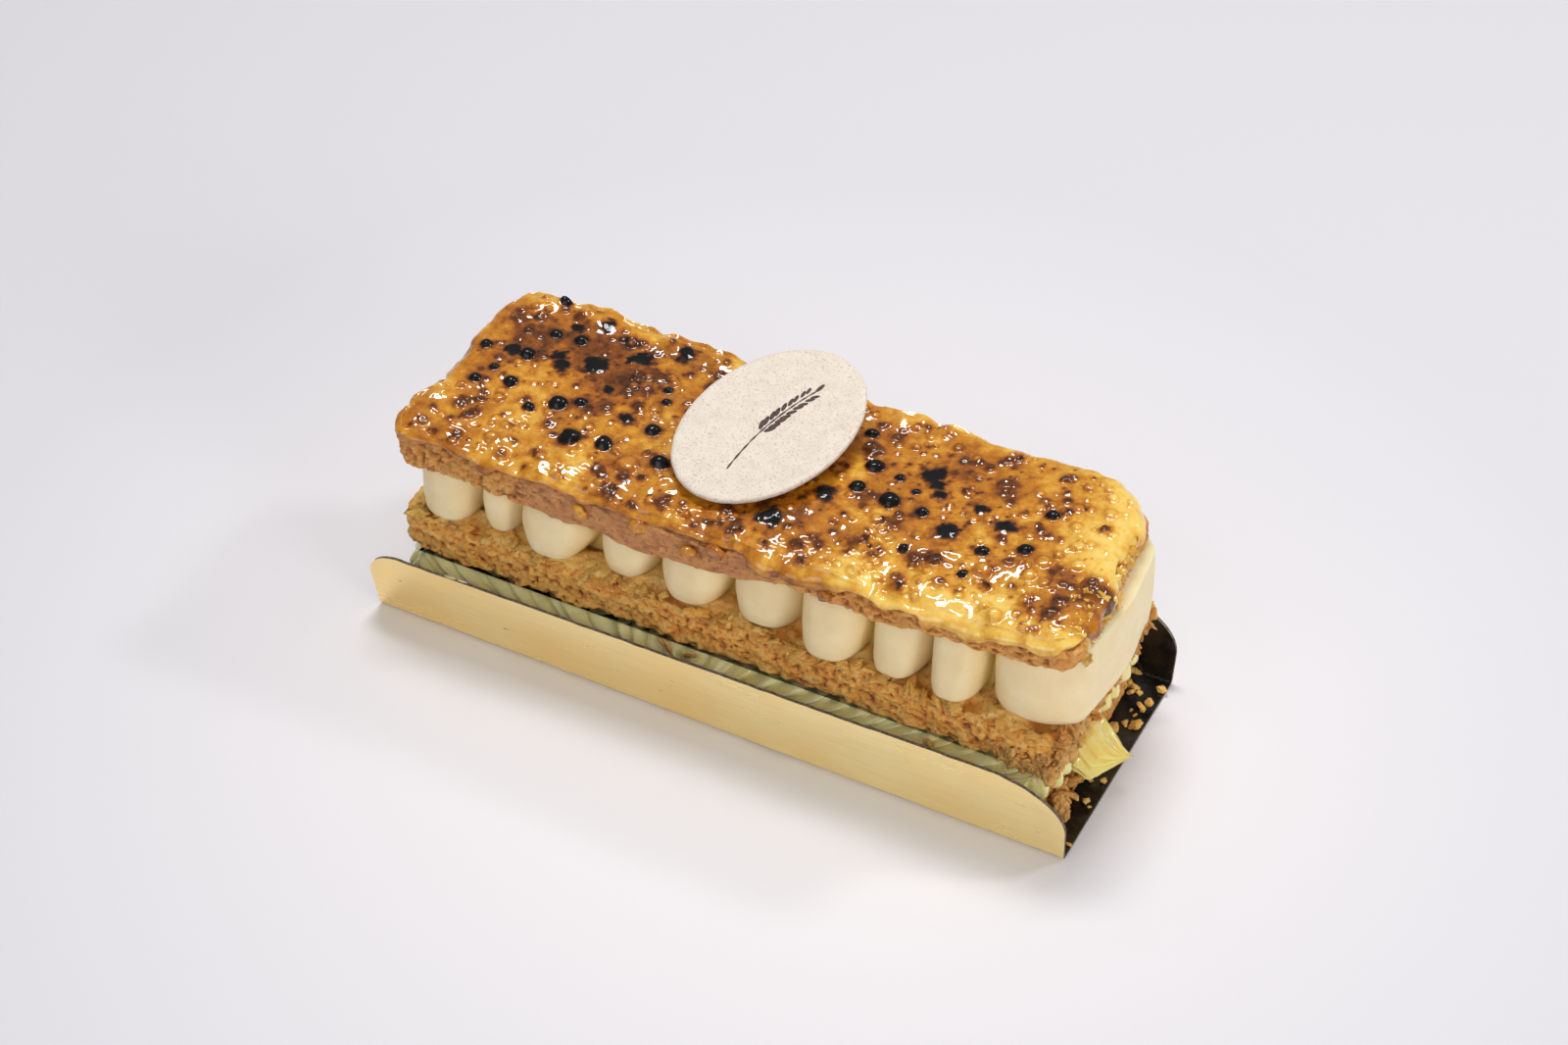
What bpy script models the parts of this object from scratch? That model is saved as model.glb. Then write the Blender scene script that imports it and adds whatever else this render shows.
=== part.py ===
"""A mille feuille slice in its folded card case: three pastry layers, piped custard, piped cream, a
toasted glaze and an oval plaque. Metres, +Z up, front towards -Y, origin under the middle of the whole."""

import math

import bmesh
import bpy
import numpy as np
from mathutils import Matrix, Vector

MM = 0.001

# Gap left between two pieces that touch
GAP = 0.3 * MM

# Card case: one sheet folded up along both long sides. The front wall is a little twisted, so its fold and
# its lean are given for the left and the right end
CARD_LENGTH = 130 * MM
CARD_THICKNESS = 0.6 * MM
FOLD_RADIUS = 1.0 * MM
WALL_HEIGHT = 14.8 * MM
FRONT_FOLD = (-22.6 * MM, -23.2 * MM)
FRONT_LEAN = (2.8 * MM, 1.1 * MM)
BACK_FOLD = 23.2 * MM
BACK_LEAN = 1.7 * MM
LEFT_CORNER = (7.0 * MM, 6.5 * MM)
RIGHT_CORNER = (13.5 * MM, 8.6 * MM)

# Heights where the layers begin and end, at the middle of the slice before it bows
BASE_PASTRY_BOTTOM = CARD_THICKNESS + GAP
BASE_PASTRY_TOP = 6.6 * MM
MIDDLE_PASTRY_BOTTOM = 12.9 * MM
MIDDLE_PASTRY_TOP = 20.4 * MM
TOP_PASTRY_BOTTOM = 31.2 * MM
TOP_PASTRY_TOP = 36.8 * MM
GLAZE_TOP = 40.2 * MM

# The outline of each layer (left, right, front, back), and the radii of its corners in front on the left and
# on the right, then behind on the right and on the left
BASE_PASTRY_BOX = (-59.0 * MM, 59.6 * MM, -19.6 * MM, 20.6 * MM)
MIDDLE_PASTRY_BOX = (-62.0 * MM, 60.8 * MM, -19.4 * MM, 21.4 * MM)
TOP_PASTRY_BOX = (-61.0 * MM, 61.2 * MM, -19.8 * MM, 22.0 * MM)
GLAZE_BOX = (-60.8 * MM, 61.5 * MM, -20.2 * MM, 23.0 * MM)
PASTRY_CORNERS = (3.0 * MM, 5.5 * MM, 6.5 * MM, 3.0 * MM)
MIDDLE_PASTRY_CORNERS = (5.2 * MM, 5.5 * MM, 6.5 * MM, 5.2 * MM)
TOP_PASTRY_CORNERS = (3.0 * MM, 4.0 * MM, 8.5 * MM, 3.0 * MM)
GLAZE_CORNERS = (4.5 * MM, 5.0 * MM, 9.5 * MM, 4.5 * MM)

# The top layers' right end runs askew: how far it moves for each unit across, and where that begins and ends
END_SKEW = 0.07
SKEW_FROM = 25 * MM
SKEW_TO = 58 * MM

# The top layers sag at mid length: height added at the left end, the middle and the right end
BOW_LEFT = 0.8 * MM
BOW_MIDDLE = -0.6 * MM
BOW_RIGHT = 2.0 * MM
BOW_REACH = 60 * MM

# The top pastry is thinner from below on the right: by how much, and where the change begins and ends
THINNING = 2.6 * MM
THINNING_FROM = -4.0 * MM
THINNING_TO = 14.0 * MM

# Depth of the leaves and of the slower swells in a pastry's side, and the wear of its edges
LEAF_DEPTH = 0.75 * MM
SWELL_DEPTH = 0.6 * MM
EDGE_WEAR = 0.9 * MM
LEAF_SIZE = 3.1 * MM
SWELL_SIZE = 17 * MM
SIDE_LEVELS = (0, 0.12, 0.36, 0.62, 0.88, 1)

# Flaked ledges along the middle pastry's top edge: how far each lies below the top, how much flakes deepen
# that, and how far in it lies
FLAKE_SIZE = 3.5 * MM
FLAKE_LEDGES = (
    (0.1 * MM, 0.9 * MM, 1.9 * MM),
    (0.0 * MM, 0.4 * MM, 3.0 * MM),
    (0.0 * MM, 0.0 * MM, 4.4 * MM),
)

# Cream fingers piped across the slice: the creases between them, and how far each comes forward
CREAM_CREASES = tuple(x * MM for x in (-60.2, -47.5, -39.0, -24.5, -12.6, 0.5, 14.1, 26.2, 37.1, 46.7, 63.0))
CREAM_REACHES = tuple(y * MM for y in (17.8, 17.2, 19.2, 17.2, 18.4, 17.4, 19.8, 17.8, 19.2, 17.6))
CREAM_BACK = 19.6 * MM
CREASE_DEPTH = 5.2 * MM
CREAM_END_SLOPE = 1.8 * MM
CREAM_END_BELLY = 0.8 * MM

# Levels of the cream, as shares of its height: how far a finger comes out there, and how wide it is
CREAM_LEVELS = (
    (0.00, 0.58, 0.72),
    (0.06, 0.82, 0.80),
    (0.20, 0.96, 0.90),
    (0.42, 1.00, 0.97),
    (0.70, 0.95, 1.00),
    (0.90, 0.84, 1.00),
    (1.00, 0.70, 1.00),
)

# Custard piped across the slice with a star nozzle: wide ropes, each with fine ridges that lean outwards
# towards the ends of the slice
CUSTARD_BOX = (-60.4 * MM, 60.4 * MM, -22.1 * MM, 22.0 * MM)
CUSTARD_CORNERS = (6.0 * MM, 6.0 * MM, 6.0 * MM, 6.0 * MM)
CUSTARD_ROPES = 11
ROPE_DEPTH = 1.5 * MM
ROPE_UNEVENNESS = 1.4 * MM
RIDGE_COUNT = 50
RIDGE_DEPTH = 0.8 * MM
RIDGE_LEAN = 2.6 * MM

# Levels of the custard, as shares of its height, and how far it draws in there
CUSTARD_LEVELS = (
    (0.00, 3.4 * MM),
    (0.16, 0.9 * MM),
    (0.42, 0.0 * MM),
    (0.72, 0.7 * MM),
    (1.00, 3.0 * MM),
)

# The last rope's end: it leaves the pastries at its mouth, hangs down and is drawn out to a point
TIP_ROOT = Vector((56.5 * MM, -3.6 * MM, 9.75 * MM))
TIP_MOUTH = Vector((61.4 * MM, -3.6 * MM, 9.4 * MM))
TIP_HANG = Vector((62.8 * MM, -3.4 * MM, 7.6 * MM))
TIP_END = Vector((67.8 * MM, -2.2 * MM, 6.4 * MM))
TIP_HALF_WIDTH = 6.4 * MM
TIP_HALF_HEIGHT = 4.2 * MM
TIP_SQUEEZED_HEIGHT = 2.4 * MM
TIP_RIDGES = 8
TIP_RIDGE_DEPTH = 0.14
TIP_TWIST = 0.8

# The glaze's rim: how far below the top it turns over, how far it rounds off inside that, how wavy it runs,
# and its levels, as shares of its height, with how far each draws in
RIM_DROP = 1.0 * MM
RIM_FALL = 0.9 * MM
RIM_REACH = 1.6 * MM
RIM_WAVE = 0.8 * MM
WAVE_SIZE = 8 * MM
GLAZE_LEVELS = (
    (0.00, 1.0 * MM),
    (0.25, 0.1 * MM),
    (0.65, 0.0 * MM),
    (0.90, 0.5 * MM),
    (1.00, 1.2 * MM),
)
LUMP_HEIGHT = 0.35 * MM
LUMP_SIZE = 6 * MM

# Bubbles in the toasted glaze, and the mound of it that holds up the back of the plaque
BUBBLE_COUNT = 18
BUBBLE_RADII = (1.1 * MM, 1.9 * MM)
BUBBLE_MARGIN = 4 * MM
BUBBLE_APART = 1 * MM
BUBBLE_SINK = 0.35
MOUND_PLACE = (-2.0 * MM, 10.5 * MM)
MOUND_HEIGHT = 4.3 * MM
MOUND_REACH = 6.5 * MM

# Oval plaque leaning back on the glaze
PLAQUE_HALF_LENGTH = 18.8 * MM
PLAQUE_HALF_WIDTH = 13.7 * MM
PLAQUE_THICKNESS = 1.1 * MM
PLAQUE_CENTRE = Vector((-2.6 * MM, 4.8 * MM, 43.6 * MM))
PLAQUE_TURN = math.radians(75)
PLAQUE_TILT = math.radians(10)

SHARP_ANGLE = math.radians(50)

# Points that a Boolean leaves closer together than this become one
WELD = 0.02 * MM

LATTICE_SIDE = 32
LATTICE = np.random.default_rng(11).uniform(-1, 1, (LATTICE_SIDE,) * 3)


def noise(x, y, z=0.0, seed=0):
    """Smooth noise from -1 to 1, with about one lump to each unit of x, y and z."""
    x, y, z = np.broadcast_arrays(x, y, z)
    place = np.stack((x + 13.7 * seed, y + 5.3 * seed, z + 9.1 * seed), axis=-1)
    cell = np.floor(place).astype(int)
    share = place - cell
    share = share * share * (3 - 2 * share)
    total = np.zeros(x.shape)
    for corner in np.ndindex(2, 2, 2):
        weight = np.where(np.array(corner, bool), share, 1 - share).prod(axis=-1)
        i, j, k = np.moveaxis((cell + corner) % LATTICE_SIDE, -1, 0)
        total += weight * LATTICE[i, j, k]
    return total


def ease(low, high, x):
    """0 below low, 1 above high and a smooth change between."""
    share = np.clip((x - low) / (high - low), 0, 1)
    return share * share * (3 - 2 * share)


def bow(x):
    """How far the top layers stand above their named heights at x."""
    share = x / BOW_REACH
    tilt = (BOW_RIGHT - BOW_LEFT) / 2
    curve = (BOW_RIGHT + BOW_LEFT) / 2 - BOW_MIDDLE
    return BOW_MIDDLE + tilt * share + curve * share * share


def skewed(points):
    """The outline of a top layer with its right end askew."""
    x, y = points.T
    return np.column_stack((x - END_SKEW * y * ease(SKEW_FROM, SKEW_TO, x), y))


def underside(x):
    """How far the top pastry's lower face stands above its named height at x."""
    return bow(x) + THINNING * ease(THINNING_FROM, THINNING_TO, x)


def material(name, colour, roughness, metallic=0.0):
    made = bpy.data.materials.new(name)
    made.use_nodes = True
    shader = made.node_tree.nodes["Principled BSDF"]
    shader.inputs["Base Color"].default_value = (*colour, 1)
    shader.inputs["Roughness"].default_value = roughness
    shader.inputs["Metallic"].default_value = metallic
    return made


def add_object(name, mesh, made_of):
    obj = bpy.data.objects.new(name, mesh)
    bpy.context.collection.objects.link(obj)
    mesh.materials.append(made_of)
    mesh.shade_smooth()
    mesh.set_sharp_from_angle(angle=SHARP_ANGLE)
    obj.parent = bpy.data.objects["slice"]
    return obj


def apply_modifiers(obj):
    graph = bpy.context.evaluated_depsgraph_get()
    mesh = bpy.data.meshes.new_from_object(obj.evaluated_get(graph))
    obj.modifiers.clear()
    obj.data = mesh


def stations(low, high, count):
    return np.linspace(low, high, count + 1)


def outline(xs, ys, corners):
    """The outline of the rectangle that xs and ys span, anticlockwise from its front left corner, with round
    corners, and its outward directions."""
    front = [(x, ys[0]) for x in xs[:-1]]
    right = [(xs[-1], y) for y in ys[:-1]]
    back = [(x, ys[-1]) for x in xs[:0:-1]]
    left = [(xs[0], y) for y in ys[:0:-1]]
    points = np.array(front + right + back + left)
    on_right = points[:, 0] > (xs[0] + xs[-1]) / 2
    behind = points[:, 1] > (ys[0] + ys[-1]) / 2
    in_front = np.where(on_right, corners[1], corners[0])
    at_back = np.where(on_right, corners[2], corners[3])
    radius = np.where(behind, at_back, in_front)[:, None]
    nearest = np.clip(points, (xs[0], ys[0]) + radius, (xs[-1], ys[-1]) - radius)
    away = points - nearest
    outward = away / np.linalg.norm(away, axis=1)[:, None]
    reach = np.abs(away).max(axis=1)
    return nearest + outward * reach[:, None], outward


def ring(points, outward, offset, height):
    """One level of a layered solid: the outline moved outwards by offset, at a height."""
    moved = points + outward * np.broadcast_to(offset, len(points))[:, None]
    return np.column_stack((moved, np.broadcast_to(height, len(points))))


def grid_inside(edge, nx, ny, relief):
    """Points inside a closed edge of nx by ny cells, spread between its four sides and raised by relief."""
    front = edge[: nx + 1]
    right = edge[nx : nx + ny + 1]
    back = edge[nx + ny : 2 * nx + ny + 1][::-1]
    left = np.concatenate((edge[2 * nx + ny :], edge[:1]))[::-1]
    u = stations(0, 1, nx)[1:-1, None, None]
    v = stations(0, 1, ny)[None, 1:-1, None]
    between_long = (1 - v) * front[1:-1, None] + v * back[1:-1, None]
    between_short = (1 - u) * left[None, 1:-1] + u * right[None, 1:-1]
    near_corners = (1 - u) * front[0] + u * front[-1]
    far_corners = (1 - u) * back[0] + u * back[-1]
    inside = between_long + between_short - (1 - v) * near_corners - v * far_corners
    inside[..., 2] += relief(inside[..., 0], inside[..., 1])
    return inside


def layered_solid(name, rings, nx, ny, made_of, top_relief=None):
    """A closed solid from level outlines, lowest first, each with nx points along its long sides and ny along
    its short ones. The caps are strips across the slice, or a grid with relief where top_relief is given."""
    shape = bmesh.new()
    levels = [[shape.verts.new(point) for point in level] for level in rings]
    count = len(levels[0])
    for lower, upper in zip(levels, levels[1:]):
        for i in range(count):
            after = (i + 1) % count
            shape.faces.new((lower[i], lower[after], upper[after], upper[i]))
    strip_cap(shape, levels[0], nx, ny, facing_down=True)
    if top_relief is None:
        strip_cap(shape, levels[-1], nx, ny, facing_down=False)
    else:
        grid_cap(shape, levels[-1], nx, ny, top_relief)
    bmesh.ops.triangulate(shape, faces=shape.faces[:])
    mesh = bpy.data.meshes.new(name)
    shape.to_mesh(mesh)
    shape.free()
    return add_object(name, mesh, made_of)


def strip_cap(shape, edge, nx, ny, facing_down):
    """Closes an outline with strips from its front to its back, so that it bows along its length only."""
    front = edge[: nx + 1]
    back = edge[nx + ny : 2 * nx + ny + 1][::-1]
    faces = [(front[i], front[i + 1], back[i + 1], back[i]) for i in range(1, nx - 1)]
    faces.append(edge[nx - 1 : nx + ny + 2])
    faces.append([*edge[2 * nx + ny - 1 :], edge[0], edge[1]])
    for face in faces:
        shape.faces.new(face[::-1] if facing_down else face)


def grid_cap(shape, edge, nx, ny, relief):
    """Closes an outline with a grid of nx by ny cells, raised by relief."""
    places = grid_inside(np.array([v.co for v in edge]), nx, ny, relief)
    front = edge[: nx + 1]
    back = edge[nx + ny : 2 * nx + ny + 1][::-1]
    right = edge[nx : nx + ny + 1]
    left = [*edge[2 * nx + ny :], edge[0]][::-1]
    rows = [[None] * (ny + 1) for _ in range(nx + 1)]
    for i in range(nx + 1):
        rows[i][0], rows[i][ny] = front[i], back[i]
    for j in range(1, ny):
        rows[0][j], rows[nx][j] = left[j], right[j]
    for i in range(1, nx):
        for j in range(1, ny):
            rows[i][j] = shape.verts.new(places[i - 1, j - 1])
    for i in range(nx):
        for j in range(ny):
            shape.faces.new((rows[i][j], rows[i + 1][j], rows[i + 1][j + 1], rows[i][j + 1]))


def wall_height(x):
    """Height of a card wall at x, lower towards both ends, where its corners are rounded."""
    height = WALL_HEIGHT
    for edge, (reach, drop) in ((x + CARD_LENGTH / 2, LEFT_CORNER), (CARD_LENGTH / 2 - x, RIGHT_CORNER)):
        if edge < reach:
            height -= drop * (1 - math.sqrt(max(0.0, 1 - (1 - edge / reach) ** 2)))
    return height


def card_profile(x):
    """The card's outer face across the slice at x, from the top of the front wall to that of the back."""
    along = float(ease(-CARD_LENGTH / 2, CARD_LENGTH / 2, x))
    height = wall_height(x)
    sides = []
    for fold, lean in ((FRONT_FOLD, FRONT_LEAN), ((BACK_FOLD, BACK_FOLD), (BACK_LEAN, BACK_LEAN))):
        at = fold[0] + along * (fold[1] - fold[0])
        out = math.copysign((lean[0] + along * (lean[1] - lean[0])) / WALL_HEIGHT, at)
        inwards = -math.copysign(FOLD_RADIUS, at)
        side = [(at + out * z, z) for z in (height, 0.65 * height, 0.3 * height)]
        for turn in (0, 45, 90):
            angle = math.radians(turn)
            side.append((at + inwards * (1 - math.cos(angle)), FOLD_RADIUS * (1 - math.sin(angle))))
        sides.append(side)
    return sides[0] + sides[1][::-1]


def card_case():
    half = CARD_LENGTH / 2
    left_end = [-half + LEFT_CORNER[0] * s for s in (0, 0.06, 0.25, 0.55, 1)]
    right_end = [half - RIGHT_CORNER[0] * s for s in (1, 0.78, 0.56, 0.37, 0.21, 0.1, 0.03, 0)]
    middle = list(stations(left_end[-1], right_end[0], 8)[1:-1])
    shape = bmesh.new()
    columns = [
        [shape.verts.new((x, y, z)) for y, z in card_profile(x)] for x in left_end + middle + right_end
    ]
    for near, far in zip(columns, columns[1:]):
        for i in range(len(near) - 1):
            shape.faces.new((near[i], near[i + 1], far[i + 1], far[i]))
    bmesh.ops.recalc_face_normals(shape, faces=shape.faces[:])
    shape.faces.ensure_lookup_table()
    lowest = min(shape.faces, key=lambda face: face.calc_center_median().z)
    if lowest.normal.z > 0:
        bmesh.ops.reverse_faces(shape, faces=shape.faces[:])
    mesh = bpy.data.meshes.new("card_case")
    shape.to_mesh(mesh)
    shape.free()
    card = add_object("card_case", mesh, material("gilt_card", (0.80, 0.60, 0.28), 0.4, 0.9))
    solid = card.modifiers.new("thickness", "SOLIDIFY")
    solid.thickness = CARD_THICKNESS
    solid.offset = -1


def pastry_rings(points, outward, faces, seed):
    """Levels of a pastry layer's crumbly side: ledges of thin leaves, and worn edges above and below. The
    faces are the heights of the lower and the upper face at each point."""
    levels = []
    x, y = points.T
    lower, upper = faces
    for share in SIDE_LEVELS:
        worn = EDGE_WEAR if share in (0, 1) else 0
        leaf = LEAF_DEPTH * noise(x / LEAF_SIZE, y / LEAF_SIZE, share * 6, seed)
        swell = SWELL_DEPTH * noise(x / SWELL_SIZE, y / SWELL_SIZE, seed=seed + 1)
        levels.append(ring(points, outward, leaf + swell - worn, lower + share * (upper - lower)))
    return levels


def base_pastry(made_of):
    nx, ny = 30, 10
    left, right, front, back = BASE_PASTRY_BOX
    points, outward = outline(stations(left, right, nx), stations(front, back, ny), PASTRY_CORNERS)
    rings = pastry_rings(points, outward, (BASE_PASTRY_BOTTOM, BASE_PASTRY_TOP), 1)
    return layered_solid("base_pastry", rings, nx, ny, made_of)


def top_pastry(made_of):
    nx, ny = 44, 15
    left, right, front, back = TOP_PASTRY_BOX
    points, outward = outline(stations(left, right, nx), stations(front, back, ny), TOP_PASTRY_CORNERS)
    points = skewed(points)
    lower = TOP_PASTRY_BOTTOM + underside(points[:, 0])
    upper = TOP_PASTRY_TOP + bow(points[:, 0])
    rings = pastry_rings(points, outward, (lower, upper), 3)
    return layered_solid("top_pastry", rings, nx, ny, made_of)


def middle_pastry(made_of):
    """The middle layer's top shows in front of the cream, so it has flaked ledges there."""
    nx, ny = 44, 15
    left, right, front, back = MIDDLE_PASTRY_BOX
    points, outward = outline(stations(left, right, nx), stations(front, back, ny), MIDDLE_PASTRY_CORNERS)
    rings = pastry_rings(points, outward, (MIDDLE_PASTRY_BOTTOM, MIDDLE_PASTRY_TOP), 5)
    flake = np.abs(noise(points[:, 0] / FLAKE_SIZE, points[:, 1] / FLAKE_SIZE, seed=9))
    for below, drop, inset in FLAKE_LEDGES:
        height = MIDDLE_PASTRY_TOP - below - drop * flake
        rings.append(ring(points, outward, -inset, height))
    rings[-1 - len(FLAKE_LEDGES)][:, 2] -= FLAKE_LEDGES[0][0] + FLAKE_LEDGES[0][1] * flake
    return layered_solid("middle_pastry", rings, nx, ny, made_of)


def finger_stations(creases, steps):
    """Places along the slice, closer together beside each crease than along a finger's crown."""
    places = []
    for low, high in zip(creases, creases[1:]):
        middle, half = (low + high) / 2, (high - low) / 2
        places += [middle - half * math.cos(math.pi * k / steps) for k in range(steps)]
    return np.array(places + [creases[-1]])


def crown(xs, creases, width=1.0):
    """0 in the creases and 1 on the crown of each finger, with the finger's number. Under a width of 1 the
    finger is narrower than the space between its creases."""
    number = np.clip(np.searchsorted(creases, xs, side="right") - 1, 0, len(creases) - 2)
    low, high = np.take(creases, number), np.take(creases, number + 1)
    across = np.clip(np.abs((xs - (low + high) / 2) / ((high - low) / 2)) / width, 0, 1)
    return np.sqrt(1 - across**2.6), number


def cream_ring(xs, ny, swell, width):
    """The cream's outline at one height: a finger's round end between two creases, in front and behind."""
    rise, number = crown(xs, CREAM_CREASES, width)
    reach = np.take(CREAM_REACHES, number)
    front = CREASE_DEPTH * (1 - rise * swell) - reach
    back = CREAM_BACK - CREASE_DEPTH * (1 - rise * swell)
    left_end = xs[0] + CREAM_END_SLOPE * (1 - swell)
    right_end = xs[-1] - CREAM_END_SLOPE * (1 - swell)
    side = stations(0, 1, ny)
    belly = CREAM_END_BELLY * np.sin(math.pi * side)
    right = np.column_stack((right_end + belly, front[-1] + side * (back[-1] - front[-1])))
    left = np.column_stack((left_end - belly, front[0] + side * (back[0] - front[0])))
    moved = left_end + (xs - xs[0]) / (xs[-1] - xs[0]) * (right_end - left_end)
    front_row = np.column_stack((moved, front))
    back_row = np.column_stack((moved, back))
    return np.concatenate((front_row[:-1], right[:-1], back_row[:0:-1], left[:0:-1]))


def cream(made_of):
    """Fingers of piped cream side by side: round tongues in front, flattened between the two pastries."""
    steps, ny = 6, 6
    xs = finger_stations(CREAM_CREASES, steps)
    low = MIDDLE_PASTRY_TOP + GAP
    rings = []
    for share, swell, width in CREAM_LEVELS:
        level = cream_ring(xs, ny, swell, width)
        high = TOP_PASTRY_BOTTOM - GAP + underside(level[:, 0])
        rings.append(np.column_stack((level, low + share * (high - low))))
    return layered_solid("cream", rings, len(xs) - 1, ny, made_of)


def tip_level(middle, half_width, half_height, share):
    """One section of the drawn-out rope: a star with its ridges turned by its share of the way."""
    sides = 4 * TIP_RIDGES
    level = []
    for side in range(sides):
        angle = 2 * math.pi * side / sides
        star = 1 + TIP_RIDGE_DEPTH * math.cos(TIP_RIDGES * angle)
        turned = angle + TIP_TWIST * share
        out = Vector((0, math.cos(turned) * half_width, math.sin(turned) * half_height))
        level.append(middle + out * star)
    return level


def custard_tip(made_of):
    """The end of the last rope of custard: squeezed between the pastries, then hanging, then a point."""
    sections = [tip_level(TIP_ROOT, 0.8 * TIP_HALF_WIDTH, TIP_SQUEEZED_HEIGHT, 0)]
    sections.append(tip_level(TIP_MOUTH, 0.9 * TIP_HALF_WIDTH, TIP_SQUEEZED_HEIGHT, 0.1))
    for share in (0, 0.2, 0.45, 0.7, 0.9):
        middle = TIP_HANG.lerp(TIP_END, share)
        size = (1 - share) ** 0.8
        sections.append(tip_level(middle, size * TIP_HALF_WIDTH, size * TIP_HALF_HEIGHT, 0.2 + 0.8 * share))
    shape = bmesh.new()
    levels = [[shape.verts.new(point) for point in section] for section in sections]
    end = shape.verts.new(TIP_END)
    count = len(levels[0])
    for near, far in zip(levels, levels[1:]):
        for i in range(count):
            shape.faces.new((near[i], near[(i + 1) % count], far[(i + 1) % count], far[i]))
    for i in range(count):
        shape.faces.new((levels[-1][i], levels[-1][(i + 1) % count], end))
    shape.faces.new(levels[0][::-1])
    bmesh.ops.recalc_face_normals(shape, faces=shape.faces[:])
    mesh = bpy.data.meshes.new("custard_tip")
    shape.to_mesh(mesh)
    shape.free()
    return add_object("custard_tip", mesh, made_of)


def custard(made_of):
    """Ropes of custard pressed out between two pastries. Every second point of a level is a ridge's crest."""
    left, right, front, back = CUSTARD_BOX
    creases = stations(left, right, CUSTARD_ROPES)
    creases[1:-1] += ROPE_UNEVENNESS * noise(np.arange(1, CUSTARD_ROPES) * 0.9, 0.0, seed=4)
    nx, ny = 2 * RIDGE_COUNT, 12
    points, outward = outline(stations(left, right, nx), stations(front, back, ny), CUSTARD_CORNERS)
    long_side = outward[:, 1] ** 2
    rise, _ = crown(points[:, 0], creases)
    rope = (rise - 1) * long_side * ROPE_DEPTH
    ridge = RIDGE_DEPTH * (np.arange(len(points)) % 2 - 0.5)
    lean = RIDGE_LEAN * np.tanh(points[:, 0] / CUSTARD_BOX[1] * 2) * long_side
    low, high = BASE_PASTRY_TOP + GAP, MIDDLE_PASTRY_BOTTOM - GAP
    rings = []
    for share, inset in CUSTARD_LEVELS:
        level = ring(points, outward, rope + ridge - inset, low + share * (high - low))
        level[:, 0] -= lean * (0.5 - share)
        rings.append(level)
    body = layered_solid("custard", rings, nx, ny, made_of)
    join(body, [custard_tip(made_of)])


def join(body, others):
    """One Boolean union of a piece with others, which are then removed."""
    together = bpy.data.collections.new("joined")
    for other in others:
        together.objects.link(other)
    union = body.modifiers.new("union", "BOOLEAN")
    union.operation = "UNION"
    union.operand_type = "COLLECTION"
    union.collection = together
    union.solver = "EXACT"
    apply_modifiers(body)
    for other in others:
        bpy.data.objects.remove(other)
    bpy.data.collections.remove(together)
    shape = bmesh.new()
    shape.from_mesh(body.data)
    bmesh.ops.remove_doubles(shape, verts=shape.verts, dist=WELD)
    shape.to_mesh(body.data)
    shape.free()


def glaze_rise(x, y):
    """How far the glaze's top stands above its rim's height: soft lumps, the mound and the rounded edge."""
    left, right, front, back = GLAZE_BOX
    from_rim = np.minimum.reduce((x - left, right - x, y - front, back - y))
    fall = RIM_FALL * np.exp(-np.maximum(from_rim, 0) / RIM_REACH)
    lumps = LUMP_HEIGHT * noise(x / LUMP_SIZE, y / LUMP_SIZE, seed=6)
    from_mound = np.hypot(x - MOUND_PLACE[0], y - MOUND_PLACE[1]) / MOUND_REACH
    return RIM_DROP + lumps + MOUND_HEIGHT * np.exp(-(from_mound**2)) - fall


def bubble_places():
    """Where the largest bubbles stand, with their radii: clear of the rim and of the plaque."""
    draw = np.random.default_rng(5)
    left, right, front, back = GLAZE_BOX
    places = []
    while len(places) < BUBBLE_COUNT:
        x = draw.uniform(left + BUBBLE_MARGIN, right - BUBBLE_MARGIN)
        y = draw.uniform(front + BUBBLE_MARGIN, back - BUBBLE_MARGIN)
        radius = draw.uniform(*BUBBLE_RADII)
        apart = all(math.dist((x, y), other[:2]) > radius + other[2] + BUBBLE_APART for other in places)
        from_plaque = Vector((x, y)) - PLAQUE_CENTRE.xy
        if apart and from_plaque.length > PLAQUE_HALF_LENGTH + radius:
            places.append((x, y, radius))
    return places


def bubble(place, made_of):
    """A bubble of glaze, sunk so far that a low dome shows."""
    x, y, radius = place
    height = GLAZE_TOP - RIM_DROP + float(bow(x) + glaze_rise(np.array(x), np.array(y)))
    shape = bmesh.new()
    bmesh.ops.create_icosphere(shape, subdivisions=2, radius=radius)
    mesh = bpy.data.meshes.new("bubble")
    shape.to_mesh(mesh)
    shape.free()
    ball = add_object("bubble", mesh, made_of)
    ball.location = (x, y, height - BUBBLE_SINK * radius)
    return ball


def glaze(made_of):
    nx, ny = 40, 14
    left, right, front, back = GLAZE_BOX
    points, outward = outline(stations(left, right, nx), stations(front, back, ny), GLAZE_CORNERS)
    points = skewed(points)
    wave = RIM_WAVE * noise(points[:, 0] / WAVE_SIZE, points[:, 1] / WAVE_SIZE, seed=8)
    low = TOP_PASTRY_TOP + GAP
    rings = []
    for share, inset in GLAZE_LEVELS:
        height = low + share * (GLAZE_TOP - RIM_DROP - low) + bow(points[:, 0])
        rings.append(ring(points, outward, wave - inset, height))
    body = layered_solid("glaze", rings, nx, ny, made_of, glaze_rise)
    join(body, [bubble(place, made_of) for place in bubble_places()])


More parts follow.
